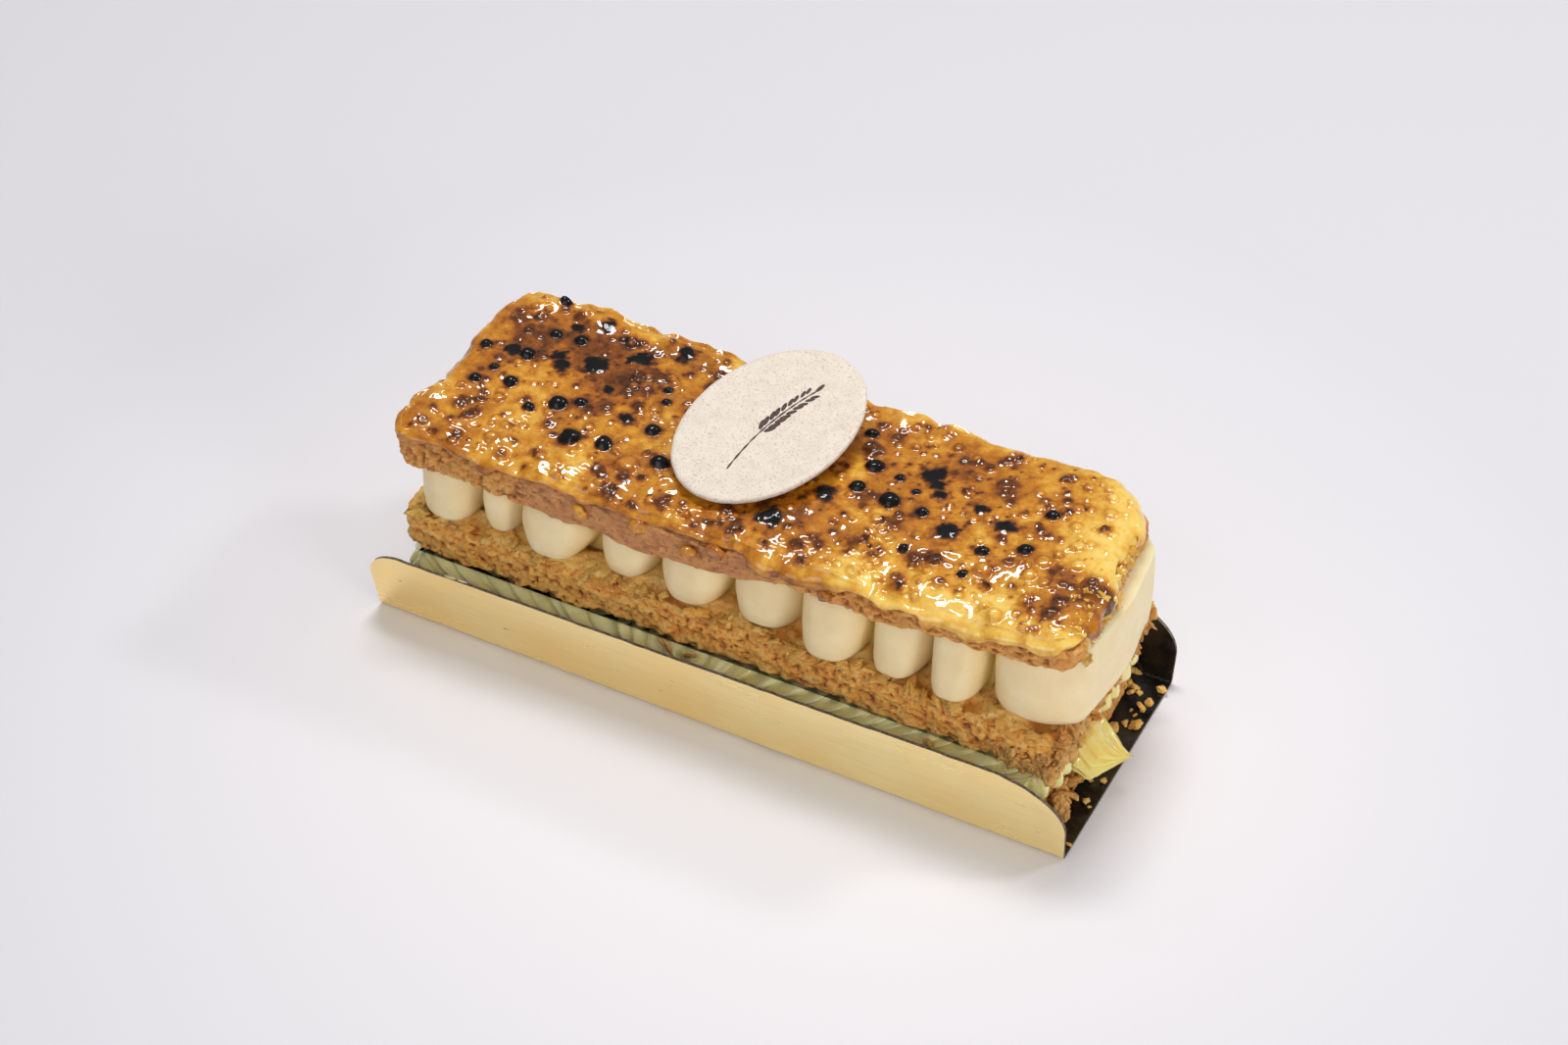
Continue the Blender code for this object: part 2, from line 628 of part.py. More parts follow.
def plaque():
    shape = bmesh.new()
    bmesh.ops.create_cone(shape, cap_ends=True, segments=40, radius1=1, radius2=1, depth=PLAQUE_THICKNESS)
    oval = Matrix.Diagonal((PLAQUE_HALF_LENGTH, PLAQUE_HALF_WIDTH, 1, 1))
    bmesh.ops.transform(shape, matrix=Matrix.Rotation(PLAQUE_TURN, 4, "Z") @ oval, verts=shape.verts)
    mesh = bpy.data.meshes.new("plaque")
    shape.to_mesh(mesh)
    shape.free()
    disc = add_object("plaque", mesh, material("plaque", (0.86, 0.80, 0.70), 0.8))
    edge = disc.modifiers.new("worn edge", "BEVEL")
    edge.width = 0.3 * MM
    edge.segments = 1
    disc.location = PLAQUE_CENTRE
    disc.rotation_euler = (PLAQUE_TILT, 0, 0)


def box_middle():
    """The middle of the box round all the solids, seen from above."""
    corners = []
    graph = bpy.context.evaluated_depsgraph_get()
    for obj in bpy.data.objects:
        if obj.type == "MESH":
            held = obj.evaluated_get(graph)
            corners += [held.matrix_world @ Vector(corner) for corner in held.bound_box]
    places = np.array(corners)
    return (places.min(axis=0) + places.max(axis=0)) / 2


def main():
    for obj in list(bpy.data.objects):
        bpy.data.objects.remove(obj)
    whole = bpy.data.objects.new("slice", None)
    bpy.context.collection.objects.link(whole)
    crumb = material("pastry", (0.56, 0.32, 0.13), 0.8)
    card_case()
    base_pastry(crumb)
    custard(material("custard", (0.78, 0.68, 0.33), 0.3))
    middle_pastry(crumb)
    cream(material("cream", (0.88, 0.83, 0.62), 0.5))
    top_pastry(crumb)
    glaze(material("toasted_glaze", (0.70, 0.36, 0.06), 0.15))
    plaque()
    middle = box_middle()
    whole.location = (-middle[0], -middle[1], 0)


main()
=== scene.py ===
"""Looks of a mille feuille slice in its folded card case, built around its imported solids."""

import math

import bmesh
import bpy
import numpy as np
from mathutils import Euler, Matrix, Vector


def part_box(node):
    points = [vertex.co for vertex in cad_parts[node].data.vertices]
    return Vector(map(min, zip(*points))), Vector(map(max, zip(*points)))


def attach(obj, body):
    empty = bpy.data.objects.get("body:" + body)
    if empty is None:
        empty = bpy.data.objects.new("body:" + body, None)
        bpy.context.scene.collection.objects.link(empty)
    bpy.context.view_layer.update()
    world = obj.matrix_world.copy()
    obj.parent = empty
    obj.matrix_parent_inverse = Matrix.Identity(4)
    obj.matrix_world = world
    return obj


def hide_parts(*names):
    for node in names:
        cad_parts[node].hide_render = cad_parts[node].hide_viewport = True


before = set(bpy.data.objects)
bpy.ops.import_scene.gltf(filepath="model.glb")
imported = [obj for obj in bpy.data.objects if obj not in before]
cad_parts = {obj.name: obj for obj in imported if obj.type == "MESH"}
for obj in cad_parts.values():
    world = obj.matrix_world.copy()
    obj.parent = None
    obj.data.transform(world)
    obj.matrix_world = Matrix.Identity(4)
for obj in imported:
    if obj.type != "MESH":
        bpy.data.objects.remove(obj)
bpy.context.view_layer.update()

# Lengths are in millimetres, in the source's own frame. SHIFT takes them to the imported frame
PLAQUE_CENTRE = np.array((-2.6, 4.8, 43.6))
_low, _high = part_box("plaque")
SHIFT = np.array((_low + _high) / 2) * 1000 - PLAQUE_CENTRE
SHIFT[2] = 0

GAP = 0.3
CARD_LENGTH = 130
CARD_THICKNESS = 0.6
FOLD_RADIUS = 1.0
WALL_HEIGHT = 14.8
FRONT_FOLD = (-22.6, -23.2)
FRONT_LEAN = (2.8, 1.1)
BACK_FOLD = 23.2
BACK_LEAN = 1.7
LEFT_CORNER = (7.0, 6.5)
RIGHT_CORNER = (13.5, 8.6)

BASE_PASTRY_BOTTOM = CARD_THICKNESS + GAP
BASE_PASTRY_TOP = 6.6
MIDDLE_PASTRY_BOTTOM = 12.9
MIDDLE_PASTRY_TOP = 20.4
TOP_PASTRY_BOTTOM = 31.2
TOP_PASTRY_TOP = 36.8
GLAZE_TOP = 40.2

BASE_PASTRY_BOX = (-59.0, 59.6, -19.6, 20.6)
MIDDLE_PASTRY_BOX = (-62.0, 60.8, -19.4, 21.4)
TOP_PASTRY_BOX = (-61.0, 61.2, -19.8, 22.0)
GLAZE_BOX = (-60.8, 61.5, -20.2, 23.0)
PASTRY_CORNERS = (3.0, 5.5, 6.5, 3.0)
MIDDLE_PASTRY_CORNERS = (5.2, 5.5, 6.5, 5.2)
TOP_PASTRY_CORNERS = (3.0, 4.0, 8.5, 3.0)
GLAZE_CORNERS = (4.5, 5.0, 12.5, 4.5)

LATTICE_SIDE = 32
LATTICE = np.random.default_rng(11).uniform(-1, 1, (LATTICE_SIDE,) * 3)


def noise(x, y, z=0.0, seed=0):
    """Smooth noise from -1 to 1, with about one lump to each unit of x, y and z."""
    x, y, z = np.broadcast_arrays(x, y, z)
    place = np.stack((x + 13.7 * seed, y + 5.3 * seed, z + 9.1 * seed), axis=-1)
    cell = np.floor(place).astype(int)
    share = place - cell
    share = share * share * (3 - 2 * share)
    total = np.zeros(x.shape)
    for corner in np.ndindex(2, 2, 2):
        weight = np.where(np.array(corner, bool), share, 1 - share).prod(axis=-1)
        total += weight * LATTICE[tuple(np.moveaxis((cell + corner) % LATTICE_SIDE, -1, 0))]
    return total


def spots(x, y, size, seed):
    """Noise over x and y only, with lumps of the given size."""
    return noise(x / size, y / size, seed=seed)


def ease(low, high, x):
    """0 below low, 1 above high and a smooth change between."""
    share = np.clip((x - low) / (high - low), 0, 1)
    return share * share * (3 - 2 * share)


def curve(places, knots, values):
    """A smooth curve through the values at the knots."""
    knots, values = np.array(knots, float), np.array(values, float)
    slopes = np.gradient(values, knots)
    i = np.clip(np.searchsorted(knots, places) - 1, 0, len(knots) - 2)
    width = knots[i + 1] - knots[i]
    s = np.clip((places - knots[i]) / width, 0, 1)
    return (
        (1 + 2 * s) * (1 - s) ** 2 * values[i]
        + s * (1 - s) ** 2 * width * slopes[i]
        + s * s * (3 - 2 * s) * values[i + 1]
        + s * s * (s - 1) * width * slopes[i + 1]
    )


def bow(x):
    """How far the top layers stand above their named heights at x."""
    share = x / 60
    return -0.6 + 0.6 * share + 2.0 * share * share


def underside(x):
    """How far the top pastry's lower face stands above its named height at x."""
    return bow(x) + 2.6 * ease(-4, 14, x)


def skewed(points):
    """The outline of a top layer with its right end askew."""
    x, y = points.T
    return np.column_stack((x - 0.07 * y * ease(25, 58, x), y))


def outline(box, counts, corners):
    """A rectangle's outline with round corners, anticlockwise from its front left corner, and its outward
    directions."""
    xs = np.linspace(box[0], box[1], counts[0] + 1)
    ys = np.linspace(box[2], box[3], counts[1] + 1)
    sides = ((xs[:-1], ys[0]), (xs[-1], ys[:-1]), (xs[:0:-1], ys[-1]), (xs[0], ys[:0:-1]))
    points = np.concatenate([np.column_stack(np.broadcast_arrays(*side)) for side in sides])
    on_right = points[:, 0] > (xs[0] + xs[-1]) / 2
    behind = points[:, 1] > (ys[0] + ys[-1]) / 2
    in_front = np.where(on_right, corners[1], corners[0])
    at_back = np.where(on_right, corners[2], corners[3])
    radius = np.where(behind, at_back, in_front)[:, None]
    nearest = np.clip(points, (xs[0], ys[0]) + radius, (xs[-1], ys[-1]) - radius)
    away = points - nearest
    outward = away / np.linalg.norm(away, axis=1)[:, None]
    reach = np.abs(away).max(axis=1)
    return nearest + outward * reach[:, None], outward


def ring(points, outward, offset, height):
    """One level of a layered form: the outline moved outwards by offset, at a height."""
    moved = points + outward * np.broadcast_to(offset, len(points))[:, None]
    return np.column_stack((moved, np.broadcast_to(height, len(points))))


def grid_inside(edge, nx, ny):
    """Points inside a closed edge of nx by ny cells, spread between its four sides."""
    front = edge[: nx + 1]
    right = edge[nx : nx + ny + 1]
    back = edge[nx + ny : 2 * nx + ny + 1][::-1]
    left = np.concatenate((edge[2 * nx + ny :], edge[:1]))[::-1]
    u = np.linspace(0, 1, nx + 1)[:, None, None]
    v = np.linspace(0, 1, ny + 1)[None, :, None]
    inside = (1 - v) * front[:, None] + v * back[:, None] + (1 - u) * left[None] + u * right[None]
    inside -= (1 - v) * ((1 - u) * front[0] + u * front[-1]) + v * ((1 - u) * back[0] + u * back[-1])
    return inside


def side_faces(levels):
    """Quads between closed level outlines with the same number of points each."""
    count = len(levels[0])
    i = np.arange(count)
    after = (i + 1) % count
    faces = [
        np.column_stack((base + i, base + after, base + count + after, base + count + i))
        for base in count * np.arange(len(levels) - 1)
    ]
    return np.concatenate(faces).tolist()


def grid_numbers(nx, ny, edge_start, inside_start):
    """The point number at each place of a grid whose edge is a closed outline and whose inside follows."""
    numbers = np.zeros((nx + 1, ny + 1), int)
    numbers[: nx + 1, 0] = edge_start + np.arange(nx + 1)
    numbers[nx, : ny + 1] = edge_start + nx + np.arange(ny + 1)
    numbers[::-1, ny] = edge_start + nx + ny + np.arange(nx + 1)
    numbers[0, 1:][::-1] = edge_start + 2 * nx + ny + np.arange(ny)
    numbers[1:nx, 1:ny] = inside_start + np.arange((nx - 1) * (ny - 1)).reshape(nx - 1, ny - 1)
    return numbers


def quads(numbers):
    """Quads between the neighbours of a grid of point numbers."""
    corners = (numbers[:-1, :-1], numbers[1:, :-1], numbers[1:, 1:], numbers[:-1, 1:])
    return np.stack([corner.ravel() for corner in corners], axis=1)


def solid_with_top(levels, nx, ny, top_shape):
    """Points and faces of a layered form whose top is a grid. top_shape moves the grid's points."""
    count = len(levels[0])
    inside = grid_inside(levels[-1], nx, ny)[1:-1, 1:-1].reshape(-1, 3)
    points = np.concatenate(levels + [top_shape(inside)])
    start = (len(levels) - 1) * count
    faces = side_faces(levels)
    faces += quads(grid_numbers(nx, ny, start, start + count)).tolist()
    faces.append(list(range(count))[::-1])
    return points, faces


def closed_levels(levels):
    """Points and faces of a form with flat caps on its first and last level."""
    count = len(levels[0])
    faces = side_faces(levels)
    faces.append(list(range(count))[::-1])
    faces.append(list(range((len(levels) - 1) * count, len(levels) * count)))
    return np.concatenate(levels), faces


# Materials


def srgb(red, green, blue):
    """A colour of 0 to 255 as linear light."""
    channels = [value / 255 for value in (red, green, blue)]
    return tuple(c / 12.92 if c <= 0.04045 else ((c + 0.055) / 1.055) ** 2.4 for c in channels) + (1.0,)


class Look:
    """A procedural material, with short names for the nodes that it uses."""

    def __init__(self, name, inner=(), **sockets):
        """inner is the light under the surface: its share, its depth in metres and its reach by colour."""
        self.material = bpy.data.materials.new(name)
        self.material.use_nodes = True
        self.tree = self.material.node_tree
        self.shader = self.tree.nodes["Principled BSDF"]
        sockets.update(zip(("Subsurface_Weight", "Subsurface_Scale", "Subsurface_Radius"), inner))
        for socket, value in sockets.items():
            self.shader.inputs[socket.replace("_", " ")].default_value = value
        place = self.node("ShaderNodeTexCoord").outputs["Object"]
        self.place = self.vector("SCALE", place, 1000)

    def node(self, kind, inputs=None, **settings):
        """A new node with its settings. Its inputs are values or other nodes' outputs."""
        made = self.tree.nodes.new(kind)
        for setting, value in settings.items():
            setattr(made, setting, value)
        for socket, value in (inputs or {}).items():
            self.put(value, made.inputs[socket])
        return made

    def put(self, value, socket):
        """Links another node's output to a socket, or sets the socket to a constant."""
        if isinstance(value, bpy.types.NodeSocket):
            self.tree.links.new(value, socket)
        else:
            socket.default_value = value

    def vector(self, operation, first, second):
        other = "Scale" if operation == "SCALE" else 1
        return self.node("ShaderNodeVectorMath", {0: first, other: second}, operation=operation).outputs[0]

    def maths(self, operation, first, second):
        return self.node("ShaderNodeMath", {0: first, 1: second}, operation=operation).outputs[0]

    def grain(self, size, detail, stretch=None, roughness=0.55):
        """Noise from 0 to 1, with lumps of the given size in millimetres."""
        place = self.place if stretch is None else self.vector("MULTIPLY", self.place, stretch)
        inputs = {"Vector": place, "Scale": 1 / size, "Detail": detail, "Roughness": roughness}
        return self.node("ShaderNodeTexNoise", inputs).outputs["Fac"]

    def swing(self, value, span):
        """Noise from 0 to 1 moved to lie about 0, with the given span."""
        return self.maths("MULTIPLY", self.maths("SUBTRACT", value, 0.5), span)

    def cells(self, size):
        """Distance from the nearest of scattered points, in units of size millimetres."""
        inputs = {"Vector": self.place, "Scale": 1 / size}
        return self.node("ShaderNodeTexVoronoi", inputs).outputs["Distance"]

    def attribute(self, name):
        """The value that a piece holds for each of its points."""
        return self.node("ShaderNodeAttribute", attribute_name=name).outputs["Fac"]

    def ramp(self, value, stops):
        """A colour for each value, from stops of a place from 0 to 1 and a colour."""
        made = self.node("ShaderNodeValToRGB", {0: value})
        places = made.color_ramp.elements
        while len(places) < len(stops):
            places.new(0.5)
        for element, (place, colour) in zip(places, stops):
            element.position = place
            element.color = colour
        return made.outputs[0]

    def spread(self, value, low, high, to_low=0.0, to_high=1.0):
        """A value's range made into another one, and held there."""
        inputs = dict(enumerate((value, low, high, to_low, to_high)))
        return self.node("ShaderNodeMapRange", inputs).outputs[0]

    def patches(self, size, detail, low, high, to_low=0.0, to_high=1.0):
        """Noise with lumps of the given size, its range made into another one."""
        return self.spread(self.grain(size, detail), low, high, to_low, to_high)

    def mix(self, share, first, second, kind="MIX"):
        """A blend of two colours, which are the node's sockets 6 and 7."""
        inputs = {0: share, 6: first, 7: second}
        return self.node("ShaderNodeMix", inputs, data_type="RGBA", blend_type=kind).outputs[2]

    def finish(self, colour, roughness=None, heights=()):
        """Links the colour, the roughness and bumps. A bump is a height from 0 to 1 with its depth in
        millimetres, and each one is added to those before it."""
        self.put(colour, self.shader.inputs["Base Color"])
        if roughness is not None:
            self.put(roughness, self.shader.inputs["Roughness"])
        following = self.shader
        for height, depth in reversed(heights):
            bump = self.node("ShaderNodeBump", {"Distance": depth / 1000, "Height": height})
            self.put(bump.outputs[0], following.inputs["Normal"])
            following = bump
        return self.material


def placed(name, data):
    """A new object that holds the data, in the scene."""
    obj = bpy.data.objects.new(name, data)
    bpy.context.collection.objects.link(obj)
    return obj


def piece(name, points, faces, materials, slot, node=None, values=None, indices=None, sharp=None):
    """One object of the part, with a value for each point under each name in values."""
    mesh = bpy.data.meshes.new(name)
    mesh.from_pydata(((points + SHIFT) / 1000).tolist(), [], faces)
    for made in materials:
        mesh.materials.append(made)
    if indices is not None:
        mesh.polygons.foreach_set("material_index", indices)
    for label, numbers in (values or {}).items():
        held = mesh.attributes.new(label, "FLOAT", "POINT")
        held.data.foreach_set("value", numbers.astype(np.float32))
    mesh.validate()
    mesh.shade_smooth()
    if sharp:
        mesh.set_sharp_from_angle(angle=math.radians(sharp))
    obj = placed(name, mesh)
    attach(obj, "root")
    if node:
        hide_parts(node)


def fine_ball():
    """Points and faces of a ball of radius 1 to shape small pieces from."""
    ball = bmesh.new()
    bmesh.ops.create_icosphere(ball, subdivisions=3, radius=1)
    points = np.array([corner.co[:] for corner in ball.verts])
    faces = np.array([[corner.index for corner in face.verts] for face in ball.faces])
    ball.free()
    return points, faces


# Card case


# Rows of the sheet up each wall, round each fold and across the base, and points round each wall's corner and
# between the corners
WALL_ROWS, FOLD_ROWS, BASE_ROWS, CORNER_POINTS, LONG_POINTS = 16, 7, 40, 22, 110
# A dent at the front fold: its place along the card, its half width and half height, and its push in and up
DENT_PLACE, DENT_WIDTH, DENT_HEIGHT, DENT_IN, DENT_UP = 12.6, 3.2, 2.2, 0.35, 0.25


def wall_height(x):
    """Height of the card's walls, with round corners at both ends."""
    height = np.full(x.shape, float(WALL_HEIGHT))
    for edge, (reach, drop) in ((x + CARD_LENGTH / 2, LEFT_CORNER), (CARD_LENGTH / 2 - x, RIGHT_CORNER)):
        share = np.clip(1 - edge / reach, 0, 1)
        height -= drop * (1 - np.sqrt(1 - share**2))
    return height


def folded_side(xs, height, folds, leans, side):
    """Rows from a wall's upper edge down to the base: y, z and the inward direction's y and z at each x."""
    along = ease(-CARD_LENGTH / 2, CARD_LENGTH / 2, xs)
    at = folds[0] + along * (folds[1] - folds[0])
    lean = side * (leans[0] + along * (leans[1] - leans[0])) / WALL_HEIGHT
    rows = []
    for share in np.linspace(1, 0, WALL_ROWS)[:-1]:
        z = FOLD_RADIUS + share * (height - FOLD_RADIUS)
        wave = 0.16 * noise(xs / 17, z / 9, seed=22) * share
        rows.append(np.broadcast_arrays(at + lean * z + wave, z, -side, 0))
    for turn in np.linspace(0, math.pi / 2, FOLD_ROWS):
        across, up = 1 - math.cos(turn), 1 - math.sin(turn)
        y = at - side * FOLD_RADIUS * across + lean * FOLD_RADIUS * (1 - across)
        rows.append(np.broadcast_arrays(y, FOLD_RADIUS * up, -side * math.cos(turn), math.sin(turn)))
    return rows


def card_profile(xs):
    """The sheet's outer face, row by row: y, z and the inward direction's y and z at each x."""
    height = wall_height(xs)
    height += 0.12 * noise(xs / 2.1, 0, seed=21) * (height > 12)
    front = folded_side(xs, height, FRONT_FOLD, FRONT_LEAN, -1)
    back = folded_side(xs, height, (BACK_FOLD, BACK_FOLD), (BACK_LEAN, BACK_LEAN), 1)[::-1]
    base = []
    for share in np.linspace(0, 1, BASE_ROWS + 1)[1:-1]:
        y = front[-1][0] * (1 - share) + back[0][0] * share
        base.append(np.broadcast_arrays(y, 0, 0, 1))
    y, z, in_y, in_z = np.moveaxis(np.array(front + base + back), 1, 0)
    dent = np.exp(-(((xs - DENT_PLACE) / DENT_WIDTH) ** 2)) * np.exp(-((z / DENT_HEIGHT) ** 2)) * (y < 0)
    return y - DENT_IN * dent, z + DENT_UP * dent * (z > 0.01), in_y, in_z


def card_case():
    ends = 1 - np.cos(np.linspace(0, math.pi / 2, CORNER_POINTS))
    left = -CARD_LENGTH / 2 + LEFT_CORNER[0] * ends
    right = CARD_LENGTH / 2 - RIGHT_CORNER[0] * ends[::-1]
    xs = np.concatenate((left[:-1], np.linspace(left[-1], right[0], LONG_POINTS)[:-1], right))
    y, z, in_y, in_z = card_profile(xs)
    outside = np.stack((np.broadcast_to(xs, y.shape), y, z), axis=-1)
    inside = outside + CARD_THICKNESS * np.stack((np.zeros(y.shape), in_y, in_z), axis=-1)
    numbers = np.arange(y.size).reshape(y.shape)
    outer_faces, inner_faces = quads(numbers), quads(numbers + y.size)[:, ::-1]
    rims = (numbers[0], numbers[-1, ::-1], numbers[::-1, 0], numbers[:, -1])
    edges = np.concatenate(
        [np.column_stack((rim[1:], rim[:-1], rim[:-1] + y.size, rim[1:] + y.size)) for rim in rims]
    )
    points = np.concatenate((outside.reshape(-1, 3), inside.reshape(-1, 3)))
    faces = np.concatenate((outer_faces, inner_faces, edges)).tolist()
    kinds = np.repeat((0, 1, 2), (len(outer_faces), len(inner_faces), len(edges))).astype(np.int32)
    looks = [gilt_look(), lining_look(), cut_edge_look()]
    piece("case", points, faces, looks, "gilt_card", "card_case", indices=kinds, sharp=50)


def gilt_look():
    look = Look("gilt", Metallic=0.7)
    brushed = look.grain(0.5, 4, stretch=(0.06, 1, 1))
    wavy = look.grain(3.0, 3, stretch=(0.12, 1, 1))
    cloud = look.grain(22, 2)
    colour = look.mix(look.spread(cloud, 0.3, 0.7), srgb(255, 222, 148), srgb(255, 238, 178))
    colour = look.mix(look.spread(brushed, 0.35, 0.65, 0, 0.35), colour, srgb(244, 212, 148))
    scratch = look.spread(look.grain(1.1, 5, stretch=(0.5, 1, 1)), 0.70, 0.76)
    colour = look.mix(scratch, colour, srgb(150, 118, 70))
    rough = look.spread(wavy, 0.3, 0.7, 0.26, 0.36)
    return look.finish(colour, rough, [(brushed, 0.03), (wavy, 0.05)])


def lining_look():
    look = Look("lining", Metallic=0.0, Specular_IOR_Level=0.5)
    smear = look.patches(5, 5, 0.5, 0.75)
    colour = look.mix(smear, srgb(22, 20, 18), srgb(48, 45, 42))
    rough = look.patches(3, 4, 0.35, 0.7, 0.16, 0.4)
    return look.finish(colour, rough, [(look.grain(9, 2), 0.1)])


def cut_edge_look():
    look = Look("cut_edge", Roughness=0.8)
    colour = look.mix(look.patches(0.6, 3, 0.35, 0.65), srgb(78, 68, 58), srgb(134, 118, 98))
    return look.finish(colour, None, [(look.grain(0.3, 2), 0.08)])


# Pastry


def crumb_relief(x, y, z, seed, flat=1.0):
    """Depth of a broken crumb surface: open pores between small lumps. flat squeezes the pores in height."""
    coarse = noise(x / 2.3, y / 2.3, z / (1.5 * flat), seed)
    fine = noise(x / 0.85, y / 0.85, z / (0.6 * flat), seed + 1)
    tiny = noise(x / 0.5, y / 0.5, z / (0.42 * flat), seed + 2)
    pores = -0.5 * np.clip(-2.4 * coarse - 0.9, 0, 1) - 1.0 * np.clip(-2.4 * fine - 0.6, 0, 1)
    return pores + 0.35 * fine + 0.45 * tiny


def pastry_levels(points, outward, faces, seed, shares, depth, flat=1.0):
    """Levels of a pastry's side with broken crumb, and how deep each point lies, which the crumb's look turns
    into painted shade in the pores.
    """
    x, y = points.T
    lower, upper = faces
    levels, depths = [], []
    for share in shares:
        z = lower + share * (upper - lower)
        leaf = 0.6 * noise(x / 2.6, y / 2.6, share * 5, seed)
        leaf += 0.22 * noise(x / 5, y / 5, z / 0.7, seed + 7)
        swell = 0.6 * spots(x, y, 17, seed + 1)
        worn = 0.9 * max(0.0, abs(share - 0.5) * 2 - 0.8) / 0.2
        crumb = crumb_relief(x, y, z, seed + 30, flat)
        ragged = 0.45 * spots(x, y, 1.3, seed + 5) * (float(share > 0.9) - float(share < 0.1))
        levels.append(ring(points, outward, 0.8 * leaf + swell - worn + depth * crumb, z + ragged))
        depths.append(crumb)
    return levels, depths


def pastry_look(name, shades, red, pink=None):
    """Crumb in four colours, darkened in its pores as painted shade and paled on its edges as painted light,
    with random tone and patches of a redder bake. The pink colour, if given, is for the smooth floury stretch
    that the attribute pink marks."""
    look = Look(name, (0.15, 0.001, (1, 0.55, 0.3)), Roughness=0.58)
    fine, tiny = look.grain(0.5, 5, roughness=0.7), look.grain(0.2, 2)
    pores = look.patches(0.62, 2, 0.42, 0.34)
    # Painted shade and light: depth is low in the pores and on lower leaves, so the colour is darker there
    # and paler on raised lumps; fine adds random tone
    value = look.maths("ADD", look.attribute("depth"), look.swing(fine, 2.2))
    # The pores noise also darkens the hollows that it bumps in: painted shade in the pores
    value = look.maths("SUBTRACT", value, look.maths("MULTIPLY", pores, 0.6))
    colour = look.ramp(look.spread(value, -1.7, 1.1), list(zip((0.06, 0.27, 0.52, 0.85), shades)))
    baked = look.patches(5, 3, 0.45, 0.7, 0, 0.5)
    colour = look.mix(baked, colour, look.mix(1.0, colour, red, "MULTIPLY"))
    if pink:
        floury = look.patches(2.4, 3, 0.35, 0.6, 0.55, 1.0)
        share = look.maths("MULTIPLY", look.attribute("pink"), floury)
        colour = look.mix(share, colour, look.mix(0.35, pink, colour))
    hollow = look.maths("SUBTRACT", 1.0, pores)
    return look.finish(colour, None, [(hollow, 0.16), (fine, 0.3), (tiny, 0.08)])


def base_pastry(look):
    points, outward = outline(BASE_PASTRY_BOX, (300, 100), PASTRY_CORNERS)
    faces = (BASE_PASTRY_BOTTOM + 0.2, BASE_PASTRY_TOP)
    levels, depths = pastry_levels(points, outward, faces, 1, np.linspace(0, 1, 20), 0.45)
    lid = levels[-1].copy()
    lid[:, :2] -= outward * 2.2
    levels.append(lid)
    depths.append(depths[-1])
    values = {"depth": np.concatenate(depths)}
    piece("pastry_base", *closed_levels(levels), [look], "pastry", "base_pastry", values)


def glaze_runs(x, y):
    """Where the glaze has run over the top pastry's edge, from 0 to 1: most of it on the right."""
    along = spots(x, y, 4.6, 79)
    return ease(-0.15, 0.35, along + 0.75 * ease(2, 22, x) - 0.35)


def top_pastry(look):
    points, outward = outline(TOP_PASTRY_BOX, (420, 140), TOP_PASTRY_CORNERS)
    points = skewed(points)
    x, y = points.T
    lower = TOP_PASTRY_BOTTOM + underside(x)
    hang = 0.9 * np.clip(spots(x, y, 4.4, 85) + 0.25, 0, 1)
    bare = 1 - glaze_runs(x, y)
    smooth = ease(-40, -33, x) * ease(18, 4, x) * (outward[:, 1] < 0)
    upper = TOP_PASTRY_TOP + bow(x) + 0.9 * bare + 0.35 * spots(x, y, 2.2, 82)
    relief = 0.42 + 0.2 * ease(-30, -42, x) - 0.3 * smooth
    shares = np.linspace(0, 1, 28)
    levels, depths = pastry_levels(points, outward, (lower - hang, upper), 3, shares, relief, 0.8)
    for at, end in ((0, levels[0]), (len(levels), levels[-1])):
        rim = end.copy()
        rim[:, :2] -= outward * 1.9
        rim[:, 2] = lower if at == 0 else TOP_PASTRY_TOP + bow(x) - 0.3
        levels.insert(at, rim)
        depths.insert(at, depths[min(at, len(depths) - 1)])
    values = {"depth": np.concatenate(depths), "pink": np.tile(smooth, len(levels))}
    piece("pastry_top", *closed_levels(levels), [look], "pastry", "top_pastry", values)


def flaky(x, y):
    """Height of the middle pastry's top: thin leaves lying over each other, broken off at their edges."""
    warp = 1.2 * spots(x, y, 3.3, 41)
    field = noise((x + warp) / 4.2, (y - warp) / 3.0, seed=42) + 0.35 * spots(x, y, 1.5, 43)
    steps = sum(ease(level, level + 0.07, field) for level in (-0.45, -0.15, 0.12, 0.4))
    height = 0.5 * steps - 1.25 + 0.10 * spots(x, y, 0.7, 44)
    return height + 0.22 * spots(x, y, 2.2, 45)


def middle_pastry(look):
    nx, ny = 430, 120
    points, outward = outline(MIDDLE_PASTRY_BOX, (nx, ny), MIDDLE_PASTRY_CORNERS)
    faces = (MIDDLE_PASTRY_BOTTOM, MIDDLE_PASTRY_TOP - 0.3)
    levels, depths = pastry_levels(points, outward, faces, 5, np.linspace(0, 1, 28), 0.42)
    under = levels[0].copy()
    under[:, :2] -= outward * 2.5
    levels.insert(0, under)
    depths.insert(0, depths[0])

    def leaves(inside):
        x, y, _ = inside.T
        left, right, front, back = MIDDLE_PASTRY_BOX
        edge = np.minimum.reduce((x - left, right + 0.2 - x, y - front + 0.2, back - y))
        rise = ease(0.2, 1.6, edge)
        inside[:, 2] = MIDDLE_PASTRY_TOP - 0.3 + rise * (flaky(x, y) + 0.35)
        return inside

    points, faces = solid_with_top(levels, nx, ny, leaves)
    edge = np.concatenate(depths)
    # Painted shade on the top: lower leaves get a lower depth value and so a darker colour, upper leaves a
    # paler one
    top = 0.85 + 0.9 * (points[len(edge) :, 2] - MIDDLE_PASTRY_TOP)
    values = {"depth": np.concatenate((edge, top))}
    piece("pastry_middle", points, faces, [look], "pastry", "middle_pastry", values)


